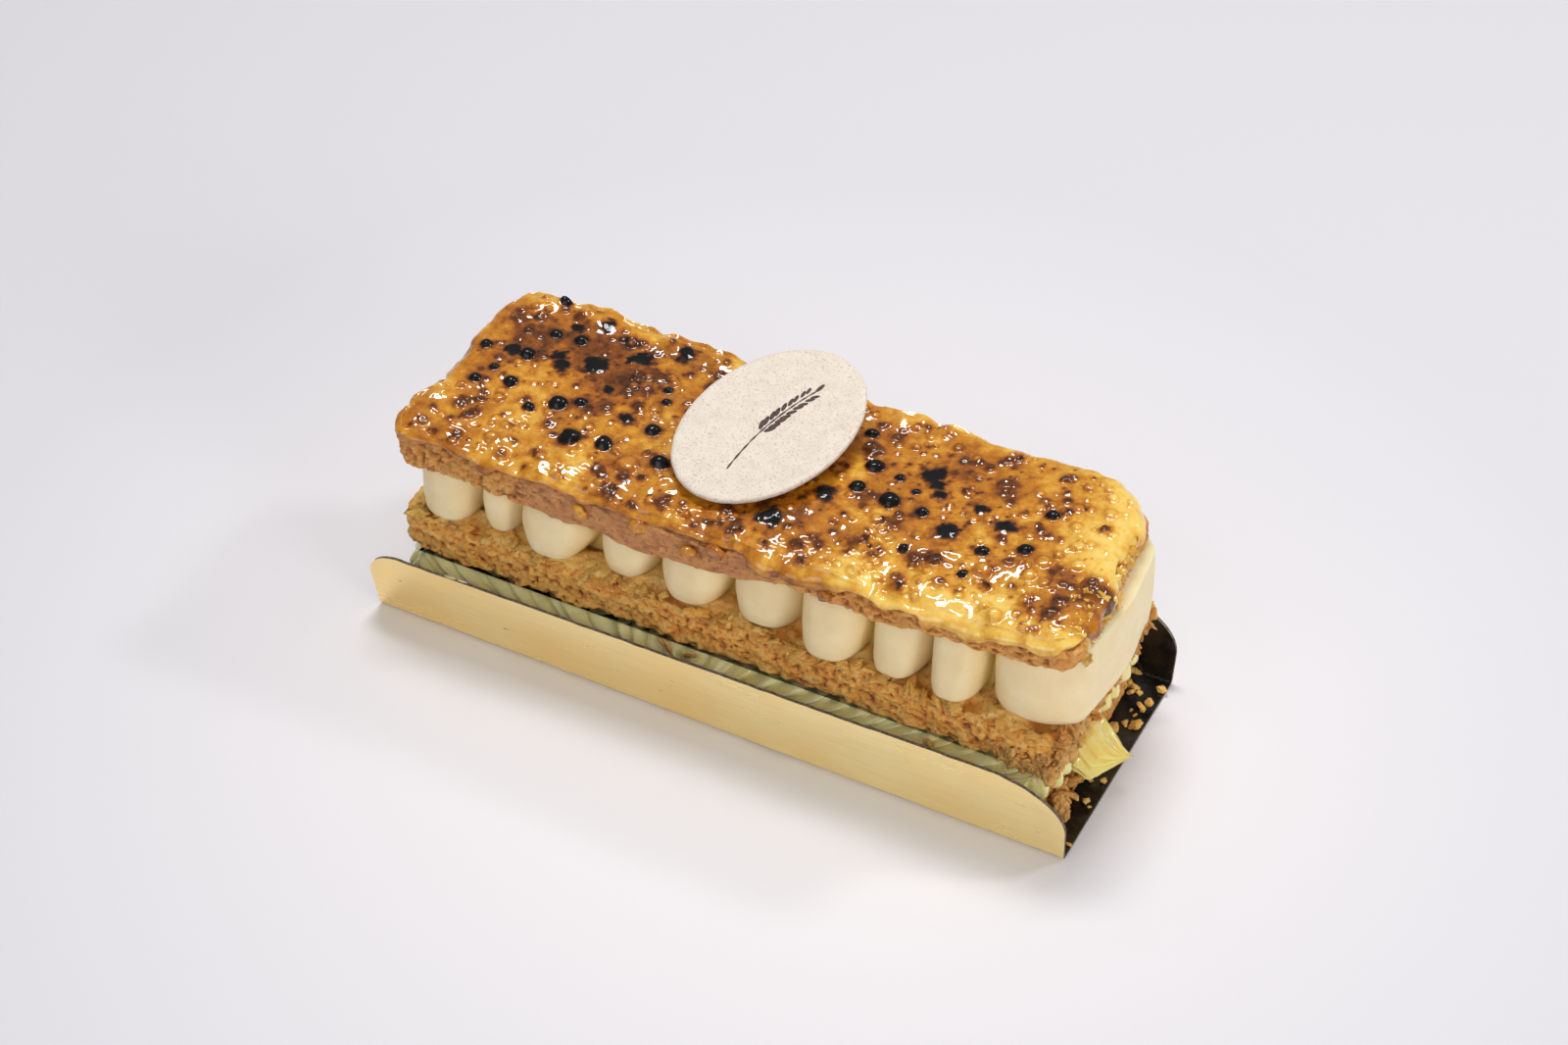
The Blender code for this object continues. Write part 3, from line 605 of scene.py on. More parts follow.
# Cream: for each finger its left and right crease and how far it comes forward, then how wide its foot is,
# how far that lies to the right and how far it stands forward
FINGERS = (
    (-60.2, -47.5, 17.8, 0.80, 0.4, 1.6),
    (-47.5, -39.0, 17.2, 0.78, 0.0, 0.2),
    (-39.0, -24.5, 19.2, 0.72, -1.2, 0.2),
    (-24.5, -12.6, 17.2, 0.76, -0.8, 0.2),
    (-12.6, 0.5, 18.4, 0.78, -0.4, 0.2),
    (0.5, 14.1, 17.4, 0.86, -0.3, 0.4),
    (14.1, 26.2, 19.8, 0.88, -0.5, 0.6),
    (26.2, 37.1, 17.8, 0.88, -0.7, 1.5),
    (37.1, 46.7, 19.2, 0.94, -0.4, 0.6),
    (46.7, 63.0, 17.6, 0.96, 0.0, 0.3),
)
CREAM_BACK = 19.6
CREASE_DEPTH = 5.2
END_DEPTH = 7.5
# Steps across each finger and each end, and levels from foot to top
FINGER_STEPS, END_STEPS, CREAM_LEVELS = 44, 60, 44


def cream_level(xs, number, share):
    """One level of the cream at a share of its height, for places xs along it and the finger each is on, and
    how far each point stands out of the creases, from 0 to 1, which sets the painted shade in the creases."""
    low, high, reach, foot, lean, forward = np.array(FINGERS)[number].T
    swell = curve(share, (0, 0.06, 0.2, 0.42, 0.7, 0.9, 1), (0.58, 0.82, 0.96, 1, 0.95, 0.84, 0.7))
    width = foot + (1 - foot) * ease(0, 0.6, share)
    width = width * math.sqrt(1 - 0.5 * (1 - min(share / 0.2, 1)) ** 2)
    middle = (low + high) / 2 + lean * (1 - share) ** 2
    outer = ((number == 0) & (xs < middle)) | ((number == len(FINGERS) - 1) & (xs > middle))
    width = np.where(outer, 1.0, width)
    across = np.clip(np.abs((xs - middle) / ((high - low) / 2)) / width, 0, 1)
    rise = np.sqrt(1 - across ** np.where(outer, 2.0, 3.0))
    lumps = 0.12 * noise(xs / 5, share * 2.5, seed=51)
    depth = np.where(outer, END_DEPTH, CREASE_DEPTH)
    back_in = CREASE_DEPTH * (1 - swell) + (depth * swell + 2.0 * ~outer) * (1 - rise)
    front = back_in - reach - lumps * rise - forward * (1 - share) ** 3 * rise
    back = CREAM_BACK - back_in + lumps * rise
    slope = 1.8 * (1 - swell)
    side = np.linspace(0, 1, END_STEPS + 1)
    belly = 1.1 * np.sin(math.pi * side) + 0.15 * noise(side * 7, share * 3, seed=52)
    right = np.column_stack((xs[-1] - slope + belly, front[-1] + side * (back[-1] - front[-1])))
    left = np.column_stack((xs[0] + slope - belly, front[0] + side * (back[0] - front[0])))
    moved = xs[0] + slope + (xs - xs[0]) / (xs[-1] - xs[0]) * (xs[-1] - xs[0] - 2 * slope)
    front_side, back_side = np.column_stack((moved, front)), np.column_stack((moved, back))
    level = np.concatenate((front_side[:-1], right[:-1], back_side[:0:-1], left[:0:-1]))
    top = TOP_PASTRY_BOTTOM - GAP + underside(level[:, 0])
    bottom = MIDDLE_PASTRY_TOP - 0.25
    free = np.where(outer, 1, rise)
    # folds drive the painted shade: low values colour the cream darker and yellower in its creases
    folds = np.concatenate((free[:-1], np.ones(END_STEPS), free[:0:-1], np.ones(END_STEPS)))
    return np.column_stack((level, bottom + share * (top - bottom))), folds


def cream(look):
    turn = math.pi * np.arange(FINGER_STEPS) / FINGER_STEPS
    places = [(low + high) / 2 - (high - low) / 2 * np.cos(turn) for low, high, *_ in FINGERS]
    xs = np.append(np.concatenate(places), FINGERS[-1][1])
    number = np.append(np.repeat(np.arange(len(FINGERS)), FINGER_STEPS), len(FINGERS) - 1)
    parts = [cream_level(xs, number, share) for share in np.linspace(0, 1, CREAM_LEVELS) ** 1.2]
    levels, folds = zip(*parts)
    values = {"fold": np.concatenate(folds)}
    piece("cream_fingers", *closed_levels(levels), [look], "cream", "cream", values)


def cream_look():
    look = Look("cream", (0.7, 0.0022, (1.0, 0.8, 0.45)), Roughness=0.42, Specular_IOR_Level=0.4)
    fold = look.attribute("fold")
    cloud = look.patches(4, 3, 0.3, 0.7)
    plain = look.mix(cloud, srgb(241, 218, 168), srgb(247, 228, 184))
    # Painted shade: the colour turns deeper yellow into the creases between fingers, where shade falls
    shaded = look.maths("POWER", look.spread(fold, 0.98, 0.1), 1.7)
    colour = look.mix(shaded, plain, srgb(228, 200, 116))
    speck = look.spread(look.cells(1.6), 0.12, 0.05, 0, 0.35)
    colour = look.mix(speck, colour, srgb(220, 205, 140))
    return look.finish(colour, None, [(look.grain(0.3, 3), 0.035), (look.grain(2.5, 2), 0.12)])


# Custard


def rope_shape(x, creases):
    """How round the custard's ropes stand out at x: 1 in the middle of a rope and 0 in its creases."""
    number = np.clip(np.searchsorted(creases, x, side="right") - 1, 0, len(creases) - 2)
    low, high = creases[number], creases[number + 1]
    across = np.clip(np.abs((x - (low + high) / 2) / ((high - low) / 2)), 0, 1)
    return np.sqrt(1 - across**2.6)


def custard(look):
    nx, ny = 620, 170
    box = (-60.4, 60.4, -22.1, 22.0)
    star_ridge = 3.5
    creases = np.linspace(box[0], box[1], 12)
    creases[1:-1] += 1.4 * noise(np.arange(1, 11) * 0.9, 0.0, seed=4)
    points, outward = outline(box, (nx, ny), (6, 6, 6, 6))
    x = points[:, 0]
    long_side = outward[:, 1] ** 2
    rope = (rope_shape(x, creases) - 1) * long_side * 1.5
    along = np.append(0, np.cumsum(np.linalg.norm(np.diff(points, axis=0), axis=1)))
    phase = along / star_ridge * math.pi + 2.8 * noise(along / 8, 0, seed=61)
    size = 1.0 + 0.9 * noise(along / 6, 0, seed=64)
    ridge = 1.2 * size * (np.abs(np.cos(phase)) - 0.5) + 0.12 * np.abs(np.cos(phase * 2.7)) - 0.1
    lean = 4.6 * np.tanh((x + 6) / box[1] * 2) * long_side * ease(60, 48, np.abs(x))
    low, high = BASE_PASTRY_TOP + GAP, MIDDLE_PASTRY_BOTTOM - GAP + 0.3
    levels = []
    for share in np.linspace(0, 1, 26):
        inset = curve(share, (0, 0.16, 0.42, 0.72, 1), (3.4, 0.9, 0, 0.7, 3.0))
        lumps = 0.45 * noise(x / 3.4, share * 2.5, seed=62) + 0.15 * noise(x, share * 7, seed=65)
        level = ring(points, outward, rope + ridge + lumps - inset, low + share * (high - low))
        level[:, 0] += lean * (share - 0.5 + 1.3 * ease(0.55, 1, share))
        levels.append(level)
    piece("custard_ropes", *closed_levels(levels), [look], "custard", "custard")


def custard_tip(look):
    """The drawn-out end of the last rope: a twisted star section that narrows to a point."""
    root, mouth = np.array((56.5, -4.2, 9.6)), np.array((61.4, -5.4, 8.7))
    hang, end = np.array((62.4, -5.6, 6.6)), np.array((67.8, -2.2, 6.3))
    sides, hidden = 128, 0.3
    levels = []
    for t in np.linspace(0, 1, 46):
        if t < hidden:
            share = t / hidden
            middle = root + (mouth - root) * share
            wide, tall, turn = 5.1 + 0.7 * share, 2.4, 0.1 * share
        else:
            share = (t - hidden) / (1 - hidden)
            into = float(ease(0, 0.25, share))
            start = mouth + (hang - mouth) * into
            middle = start + (end - start) * share
            size = max(1 - share, 0.0) ** 1.25
            wide = (5.8 + 0.9 * into) * size
            tall = (2.4 + 1.0 * into) * size
            turn = 0.1 + 0.9 * share
        angle = np.linspace(0, 2 * math.pi, sides, endpoint=False)
        star = 1 + 0.3 * (np.abs(np.cos(5.5 * angle + 0.4)) - 0.6) + 0.03 * np.cos(19 * angle + 5 * t)
        star = star * (1 + 0.05 * noise(np.cos(angle) * 2, np.sin(angle) * 2, t * 6, seed=63))
        turned = angle + turn
        forward = 0.2 * np.sin(5 * angle) * (t > hidden)
        section = np.column_stack((forward, np.cos(turned) * wide, np.sin(turned) * tall))
        levels.append(middle + section * star[:, None])
    piece("custard_tip", *closed_levels(levels), [look], "custard", "custard")


def custard_look(name, deep, light):
    inner = (0.6, 0.003, (1.0, 0.75, 0.25))
    look = Look(name, inner, Roughness=0.24, Coat_Weight=0.9, Coat_Roughness=0.06)
    cloud = look.patches(5, 3, 0.3, 0.7)
    colour = look.mix(cloud, deep, light)
    return look.finish(colour, None, [(look.grain(0.5, 3), 0.06), (look.grain(2, 3), 0.2)])


# Glaze: its blisters as x, y and radius, by kind
DOMES = (
    (-32.4, -9.1, 1.8), (-26.9, -7.7, 1.5), (-48.8, 13.6, 1.0), (-51.7, 22.0, 1.1), (-44.1, 14.2, 1.1),
    (-57.7, 5.2, 1.0), (-50.2, 6.4, 1.3), (-53.2, 0.5, 0.8), (-54.4, -3.6, 1.0), (-48.7, -1.5, 1.2),
    (-38.9, -2.4, 1.5), (-42.7, -5.6, 1.0), (-35.7, -0.4, 1.0), (-24.4, 9.6, 0.8), (-23.1, 6.6, 0.8),
    (-21.4, -0.9, 1.3), (-16.3, -7.6, 1.5), (15.4, 7.5, 1.5), (15.2, 1.6, 1.3), (21.5, 0.5, 1.7),
    (24.4, 4.3, 0.7), (27.5, 0.1, 1.0), (40.2, -4.7, 1.1), (46.2, -1.6, 1.2), (39.5, -10.5, 0.8),
    (46.7, 8.0, 1.1), (28.5, -8.9, 0.8), (20.5, 6.5, 0.8), (11.3, 14.9, 1.1),
)
PATCHES = (
    (-46.4, 17.0, 1.3), (-41.6, 19.5, 1.3), (-53.2, 6.5, 1.6), (-45.1, 8.5, 1.6), (-43.4, 6.6, 1.9),
    (-38.5, 9.5, 2.3), (-32.7, 14.8, 2.0), (-26.4, 19.7, 1.8), (-33.4, 4.8, 1.3), (-26.9, -0.3, 1.8),
    (6.0, -11.3, 2.3), (11.4, -2.2, 2.3), (25.2, 9.5, 2.3), (28.5, 5.3, 1.2), (26.8, 7.2, 1.2),
    (33.1, -2.3, 2.5), (41.0, 1.9, 2.0), (35.5, 4.7, 1.3),
)
CLEAR = (
    (-21.0, -10.5, 2.0), (-44.1, -15.1, 1.2), (29.3, -5.2, 1.0), (42.1, -8.6, 1.5), (50.0, -3.1, 1.3),
    (49.1, -6.7, 1.3), (55.2, -1.7, 1.3), (54.9, 12.1, 1.2), (47.9, -17.0, 1.3),
)
BROWNS = (
    (-44.9, 22.0, 0.8), (-50.3, -11.8, 1.5), (-40.7, -17.3, 1.3), (-50.7, -7.5, 1.0), (-37.7, -7.5, 1.0),
    (-24.5, -13.6, 1.2), (-19.4, -6.4, 0.8), (-18.8, 16.9, 0.8), (-18.8, 20.3, 0.8), (-27.4, 7.6, 1.3),
    (30.6, -15.5, 1.7), (36.7, 12.2, 1.7), (35.9, 19.5, 1.0), (21.2, 21.6, 1.0), (28.0, 15.6, 0.8),
    (33.7, 17.2, 0.8), (34.1, -9.4, 1.3), (37.2, -13.9, 1.2), (47.5, 12.3, 1.0), (24.6, -4.5, 1.2),
    (42.6, 6.7, 1.0), (45.6, 5.0, 0.8), (15.7, 15.8, 1.2), (19.1, 20.2, 1.0), (12.3, 11.6, 1.2),
    (50.3, 2.9, 1.0), (55.5, 7.8, 1.0), (21.2, -11.2, 1.5), (24.8, -12.5, 1.0), (44.0, -11.3, 0.8),
    (47.7, -9.8, 0.8), (54.8, -6.6, 0.8),
)


def glaze_top(x, y):
    """Height of the glaze's top: soft lumps, the mound, the rounded edge and wrinkles towards the front."""
    left, right, front, back = GLAZE_BOX
    from_rim = np.minimum.reduce((x - left, right - x, y - front, back - y))
    fall = 0.9 * np.exp(-np.maximum(from_rim, 0) / 1.6) + 1.3 * np.exp(-((y - front) / 5.5))
    wet = ease(-3, -10, y)
    rough = 0.3 + 0.85 * wet
    lumps = rough * (0.4 * spots(x, y, 6, 6) + 0.3 * spots(x, y, 3.1, 71))
    at_back = ease(7, 1.5, back - y) * ease(-59, -53, x) * ease(32, 16, x)
    lumps += at_back * (1.1 + 1.2 * noise(x / 2.8, y / 3.5, seed=84))
    lumps += 0.07 * spots(x, y, 1.4, 72) - 0.08 * np.abs(spots(x, y, 2.0, 83))
    bend = 1.5 * spots(x, y, 5, 86)
    lumps -= 0.45 * ease(-2, -9, y) * np.abs(noise((x + bend) / 2.3, (y - bend) / 1.7, seed=87))
    from_mound = np.hypot(x + 2.0, y - 10.5) / 6.5
    return GLAZE_TOP + bow(x) + lumps + 4.3 * np.exp(-(from_mound**2)) - fall


def toast(x, y):
    """How toasted the glaze is before its blisters: pale at the front rim and at the right end."""
    value = 0.42 + 0.12 * spots(x, y, 11, 73) + 0.16 * spots(x, y, 4.2, 74)
    value = value + 0.09 * spots(x, y, 1.7, 75)
    value = value + 0.15 * np.exp(-(((x + 38) / 14) ** 2) - ((y - 11) / 7.5) ** 2)
    value = value + 0.05 * np.exp(-(((x - 20) / 12) ** 2) - ((y - 7) / 8) ** 2) - 0.05 * ease(20, 40, x)
    pale = np.maximum(ease(46, 57, x), ease(-9, -16, y) * (0.1 + 0.6 * ease(5, 25, x)))
    pale = np.maximum(pale, 0.45 * ease(17, 21, y))
    crumbly = ease(0, 4, x - 49) * ease(-1, -5, y) * ease(-17, -14, y)
    return value - 0.34 * pale * (1 - crumbly) + 0.12 * crumbly


def blister(x, y, z, burn, place, kind, seed):
    """Raises one blister in the arrays z and burn, which change in place."""
    cx, cy, radius = place
    near = np.flatnonzero((np.abs(x - cx) < 3.2 * radius) & (np.abs(y - cy) < 3.2 * radius))
    if len(near) == 0:
        return
    dx, dy = x[near] - cx, y[near] - cy
    d = np.hypot(dx, dy) / radius
    uneven = 0.5 if kind == "patch" else 0.16
    d = d * (1 + uneven * noise(dx / radius * 1.3 + seed + cx, dy / radius * 1.3 + cy, seed=76))
    if kind == "patch":
        d = d * (1 + 0.25 * spots(x[near], y[near], 0.55, 89))
    dome = np.sqrt(np.clip(1 - d**2, 0, 1))
    rough = spots(x[near], y[near], 0.7, 77)
    foot = np.exp(-(((d - 1.15) / 0.22) ** 2))
    old = burn[near]
    if kind == "dome":
        z[near] += 0.72 * radius * dome - 0.07 * radius * foot + 0.05 * rough * dome
        tone = 1.05 * ease(1.12, 0.85, d) + 0.18 * ease(2.0, 0.95, d)
        burn[near] = np.maximum(old, np.minimum(tone + old * (tone < 0.9), 1.05))
    elif kind == "patch":
        z[near] += 0.15 * radius * ease(1.1, 0.3, d) * (0.9 + 0.4 * rough)
        tone = 0.6 * ease(1.1, 0.2, d + 0.2 * rough) + 0.42 * ease(2.7, 0.6, d + 0.15 * rough)
        burn[near] = np.maximum(old, np.minimum(tone + 0.35 * old, 1.02))
    elif kind == "clear":
        z[near] += 0.36 * radius * dome - 0.06 * radius * foot
        burn[near] += 0.13 * np.exp(-(((d - 0.9) / 0.35) ** 2)) - 0.03 * dome
    else:
        z[near] += 0.34 * radius * dome - 0.26 * radius * np.exp(-((d / 0.35) ** 2)) - 0.04 * radius * foot
        tone = 0.27 * ease(1.1, 0.3, d + 0.2 * rough) + 0.10 * ease(2.1, 0.8, d)
        burn[near] = np.maximum(old, np.minimum(old + tone, 0.7))


def glaze_sides(counts, shares):
    """Levels of the glaze's side, with the runs that hang over the pastry's edge."""
    points, outward = outline(GLAZE_BOX, counts, GLAZE_CORNERS)
    points = skewed(points)
    x, y = points.T
    behind = outward[:, 1] > 0.5
    left_edge = curve(y, (-20, -12, -6, 0, 6, 12, 18, 23), (0.4, 0.8, -1.2, -0.8, 0.8, 1.7, 0.8, -0.4))
    knobs = 0.55 + 0.5 * ((x < -55) | behind & (x < 10))
    wave = 0.9 * spots(x, y, 8, 8) + knobs * spots(x, y, 2.6, 78)
    wave = wave + left_edge * (x < -58) + 1.1 * behind * ease(-60, -54, x) * ease(34, 18, x)
    runs = glaze_runs(x, y)
    low = TOP_PASTRY_TOP + GAP + bow(x) - runs * (1.8 + 0.9 * spots(x, y, 2.3, 88))
    top = np.maximum(glaze_top(*(points - outward * 1.2).T), low + 0.5)
    levels = []
    for share in shares:
        inset = curve(share, (0, 0.25, 0.5, 0.8, 1), (1.0, 0.1, 0, 0.5, 1.5))
        inset = inset + (1 - runs) * 0.9 * (1 - share) - 0.7 * runs * (1 - share)
        levels.append(ring(points, outward, wave - inset, low + share * (top - low)))
    return levels


def raise_blisters(x, y, z, burn):
    """Raises the blisters that are listed, and then small ones drawn at random between them."""
    for kind, places in (("clear", CLEAR), ("brown", BROWNS), ("patch", PATCHES), ("dome", DOMES)):
        for number, place in enumerate(places):
            blister(x, y, z, burn, place, kind, number * 3.1)
    draw = np.random.default_rng(9)
    taken = np.array(DOMES + PATCHES + CLEAR)
    for _ in range(1500):
        cx, cy = draw.uniform(-58, 59), draw.uniform(-18.5, 21)
        radius = 0.24 + 0.9 * draw.random() ** 2.2
        browned = 0.6 * ease(0.24, 0.49, toast(cx, cy)) + 0.1
        kind = "brown" if draw.random() < browned else "clear"
        gap = np.hypot(taken[:, 0] - cx, taken[:, 1] - cy) - taken[:, 2] - radius
        if gap.min() > 0.1:
            blister(x, y, z, burn, (cx, cy, radius), kind, 0)


def glaze(look):
    nx, ny = 440, 154
    shares = np.linspace(0, 1, 15)
    levels = glaze_sides((nx, ny), shares)
    burns = []

    def crust(inside):
        x, y, _ = inside.T
        burn, z = toast(x, y), np.maximum(glaze_top(x, y), TOP_PASTRY_TOP + bow(x) + 0.9)
        raise_blisters(x, y, z, burn)
        burns.append(burn)
        return np.column_stack((x, y, z))

    points, faces = solid_with_top(levels, nx, ny, crust)
    x, y, z = np.concatenate(levels).T
    rim = toast(x, y) + 0.08 * noise(x / 1.3, y / 1.3, z, seed=81)
    rim += 0.22 * np.repeat(ease(0.75, 0.1, shares), len(levels[0]))
    values = {"burn": np.concatenate((rim, *burns))}
    piece("glaze_crust", points, faces, [look], "glaze", "glaze", values)


def glaze_look():
    inner = (0.25, 0.0015, (1.0, 0.5, 0.12))
    look = Look("toasted_glaze", inner, Specular_IOR_Level=0.1, Coat_Roughness=0.02, Coat_IOR=1.65)
    burn = look.attribute("burn")
    fine = look.swing(look.grain(0.5, 4), 0.22)
    mottle = look.swing(look.grain(1.7, 4), 0.42)
    value = look.maths("ADD", burn, look.maths("ADD", fine, mottle))
    shades = (
        (0.0, 249, 211, 112), (0.16, 236, 185, 76), (0.34, 204, 136, 30), (0.48, 172, 100, 14),
        (0.58, 132, 70, 10), (0.7, 92, 46, 8), (0.82, 42, 21, 9), (0.95, 10, 9, 10),
    )
    colour = look.ramp(value, [(place, srgb(*shade)) for place, *shade in shades])
    rough = look.spread(value, 0.5, 1.0, 0.42, 0.55)
    look.put(look.spread(value, 0.5, 0.95, 1.0, 0.4), look.shader.inputs["Coat Weight"])
    return look.finish(colour, rough, [(look.grain(1.8, 2), 0.05), (look.grain(0.5, 2), 0.01)])


# Plaque


PLAQUE_TURN, PLAQUE_TILT = math.radians(75), math.radians(10)
PLAQUE_HALF_THICK = 0.55


def on_plaque(points):
    """Points from the plaque's own directions, along, across and up, to their places."""
    turned = np.array(Matrix.Rotation(PLAQUE_TILT, 3, "X") @ Matrix.Rotation(PLAQUE_TURN, 3, "Z"))
    return points @ turned.T + PLAQUE_CENTRE


def plaque():
    sides = 180
    half_long, half_wide = 18.8, 13.7
    profile = [(s, -1.0) for s in (0.25, 0.5, 0.7, 0.85, 0.94)]
    profile += [(0.975, -0.95), (0.99, -0.6), (0.996, 0.0), (0.99, 0.6), (0.975, 0.94)]
    profile += [(s, 1.0) for s in (0.94, 0.9, 0.85, 0.78, 0.7, 0.6, 0.5, 0.38, 0.25, 0.12)]
    angle = np.linspace(0, 2 * math.pi, sides, endpoint=False)
    oval = np.column_stack((half_long * np.cos(angle), half_wide * np.sin(angle)))
    levels = []
    for share, height in profile:
        flat = oval * share
        flat += flat * (0.004 * spots(flat[:, 0], flat[:, 1], 1.1, 92) * (share > 0.9))[:, None]
        uneven = 0.05 * spots(flat[:, 0], flat[:, 1], 3, 91) * (abs(height) > 0.9)
        levels.append(np.column_stack((flat, np.full(sides, height * PLAQUE_HALF_THICK) + uneven)))
    body, faces = closed_levels(levels)
    piece("plaque_disc", on_plaque(body), faces, [plaque_look()], "plaque", "plaque", sharp=60)


def plaque_look():
    look = Look("plaque", (0.15, 0.001), Roughness=0.75)
    speck = look.patches(0.36, 2, 0.54, 0.68, 0, 0.75)
    mottle = look.patches(2.2, 4, 0.35, 0.65)
    colour = look.mix(mottle, srgb(225, 211, 195), srgb(233, 221, 206))
    colour = look.mix(speck, colour, srgb(190, 172, 154))
    return look.finish(colour, None, [(look.grain(0.35, 3), 0.09), (look.grain(1.1, 3), 0.05)])


def sprig():
    """An ear of wheat in low relief on the plaque: a bent stalk with a row of grains on each side."""
    form, sides = fine_ball()
    points, faces = [], []
    path = np.linspace(0, 1, 60)
    along, across = -11.5 + 21.5 * path, 2.4 * path * (1 - path) * 2 - 1.4

    def grain(u, v, turn, size):
        c, s = math.cos(turn), math.sin(turn)
        long, wide, tall = (form * size).T
        faces.append(sides + sum(len(p) for p in points))
        points.append(np.column_stack((long * c - wide * s + u, long * s + wide * c + v, tall)))

    def heading(at):
        return math.atan2(across[at + 1] - across[at], along[at + 1] - along[at])

    for k in range(len(path) - 1):
        grain(along[k], across[k], heading(k), (0.34, 0.15 + 0.05 * math.sin(k), 0.10))
    for k in range(9):
        at = int(26 + 3.6 * k)
        turn = heading(at)
        for hand in (-1, 1):
            lean = turn + hand * 0.42
            u = along[at] + 1.1 * math.cos(lean) - hand * 0.45 * math.sin(turn)
            v = across[at] + 1.1 * math.sin(lean) + hand * 0.45 * math.cos(turn)
            grain(u, v, lean, (1.15 - 0.04 * k, 0.42 - 0.015 * k, 0.14))
    grain(along[-1] + 1.0, across[-1], 0.0, (1.1, 0.36, 0.14))
    points = np.concatenate(points)
    points[:, 2] += PLAQUE_HALF_THICK
    piece("plaque_sprig", on_plaque(points), np.concatenate(faces).tolist(), [cocoa_look()], "plaque")


def cocoa_look():
    look = Look("cocoa", Roughness=0.55)
    colour = look.mix(look.patches(0.5, 3, 0.35, 0.65), srgb(52, 32, 26), srgb(84, 56, 44))
    return look.finish(colour, None, [(look.grain(0.25, 2), 0.03)])


# Crumbs on the card's floor: x, y and the half sizes along them
FLOOR_CRUMBS = (
    (58.4, 22.1, 1.6, 0.8), (59.0, 18.8, 0.8, 0.7), (60.2, 18.4, 0.7, 0.6), (59.9, 17.0, 0.9, 0.6),
    (61.3, 17.6, 0.6, 0.5), (64.4, 19.9, 1.0, 0.8), (63.7, 16.1, 0.9, 0.6), (62.9, 14.4, 1.0, 0.6),
    (63.7, 9.9, 1.2, 1.1), (61.9, 9.6, 0.5, 0.8), (60.6, 7.6, 0.9, 1.1), (62.1, -5.3, 0.5, 0.4),
    (64.0, -4.5, 0.6, 0.6), (63.3, -10.0, 0.5, 0.9), (64.2, -11.0, 0.35, 0.35), (64.6, -20.2, 0.4, 0.6),
    (62.6, 12.2, 0.4, 0.3), (61.6, 13.0, 0.35, 0.3), (63.0, 3.0, 0.3, 0.3), (-62.6, 12.0, 0.8, 0.6),
    (-63.2, -6.0, 0.5, 0.5), (-62.4, 3.5, 0.4, 0.3),
)


# Single flakes, drips and smears: x, y, z and the three half sizes
FRONT_FLAKES = (
    (-8.2, -20.8, 12.6, 1.6, 1.0, 0.5), (-4.0, -20.6, 12.4, 1.4, 0.7, 0.3),
    (39.9, -21.2, 13.0, 0.8, 0.6, 0.5),
)
SYRUP_DROPS = (
    (-24.3, -20.1, 34.9, 1.5, 0.8, 1.0), (-13.7, -20.2, 35.9, 1.7, 0.8, 1.2),
    (-4.3, -20.1, 34.6, 1.4, 0.8, 1.1), (0.7, -20.3, 36.7, 1.7, 0.8, 1.2),
    (20.4, -20.1, 35.4, 1.4, 0.8, 0.9), (62.9, -2.3, 37.8, 0.3, 1.2, 1.5),
)
CREAM_SMEARS = (
    (-50.3, -24.9, 14.0, 1.6, 0.3, 0.5), (-47.9, -24.9, 14.6, 1.6, 0.3, 0.45),
    (-45.8, -24.8, 14.8, 1.1, 0.25, 0.3), (-54.0, -25.0, 14.5, 1.8, 0.2, 0.25),
)


def bits(name, places, look, slot, ragged=0.5, tilt=0.4, label="depth", tone=0.2):
    """Small broken pieces as one mesh, each turned at random. The look reads the value label, about tone."""
    form, sides = fine_ball()
    draw = np.random.default_rng(len(name))
    points, faces, tones = [], [], []
    for number, (x, y, z, *size) in enumerate(places):
        at = form * 1.5 + 7.3 * number
        swell = ragged * (noise(*at.T, seed=3) + 0.6 * noise(*(2.3 * at.T), seed=5))
        tilts = draw.normal(0, tilt), draw.normal(0, tilt)
        turn = Euler((*tilts, draw.uniform(0, math.pi) * (tilt > 0.15))).to_matrix()
        points.append(form * (1 + swell)[:, None] * size @ np.array(turn).T + (x, y, z))
        faces.append(sides + number * len(form))
        # Raised parts get a higher value; on pastry bits, read as depth, this pales the lumps as painted
        # light, as on the pastry itself
        tones.append(tone * (1 + 0.5 * draw.normal()) + swell * 0.8 * tone)
    points, faces = np.concatenate(points), np.concatenate(faces).tolist()
    points[:, 2] = np.maximum(points[:, 2], CARD_THICKNESS + 0.02)
    piece(name, points, faces, [look], slot, values={label: np.concatenate(tones)})


def scattered_leaves(draw):
    """Thin leaves on the middle pastry's top, along its front edge and its left end."""
    leaves = []
    for _ in range(60):
        x, y = draw.uniform(-59, 58), -19.6 + 4.2 * draw.random() ** 1.3
        z = MIDDLE_PASTRY_TOP + draw.uniform(-0.2, 0.45)
        leaves.append((x, y, z, draw.uniform(0.8, 2.2), draw.uniform(0.5, 1.2), 0.16))
    for _ in range(40):
        x, y = draw.uniform(-61, -58.5), draw.uniform(-17, 19)
        z = MIDDLE_PASTRY_TOP + draw.uniform(-0.3, 0.3)
        leaves.append((x, y, z, draw.uniform(0.7, 1.6), draw.uniform(0.6, 1.2), 0.18))
    return leaves


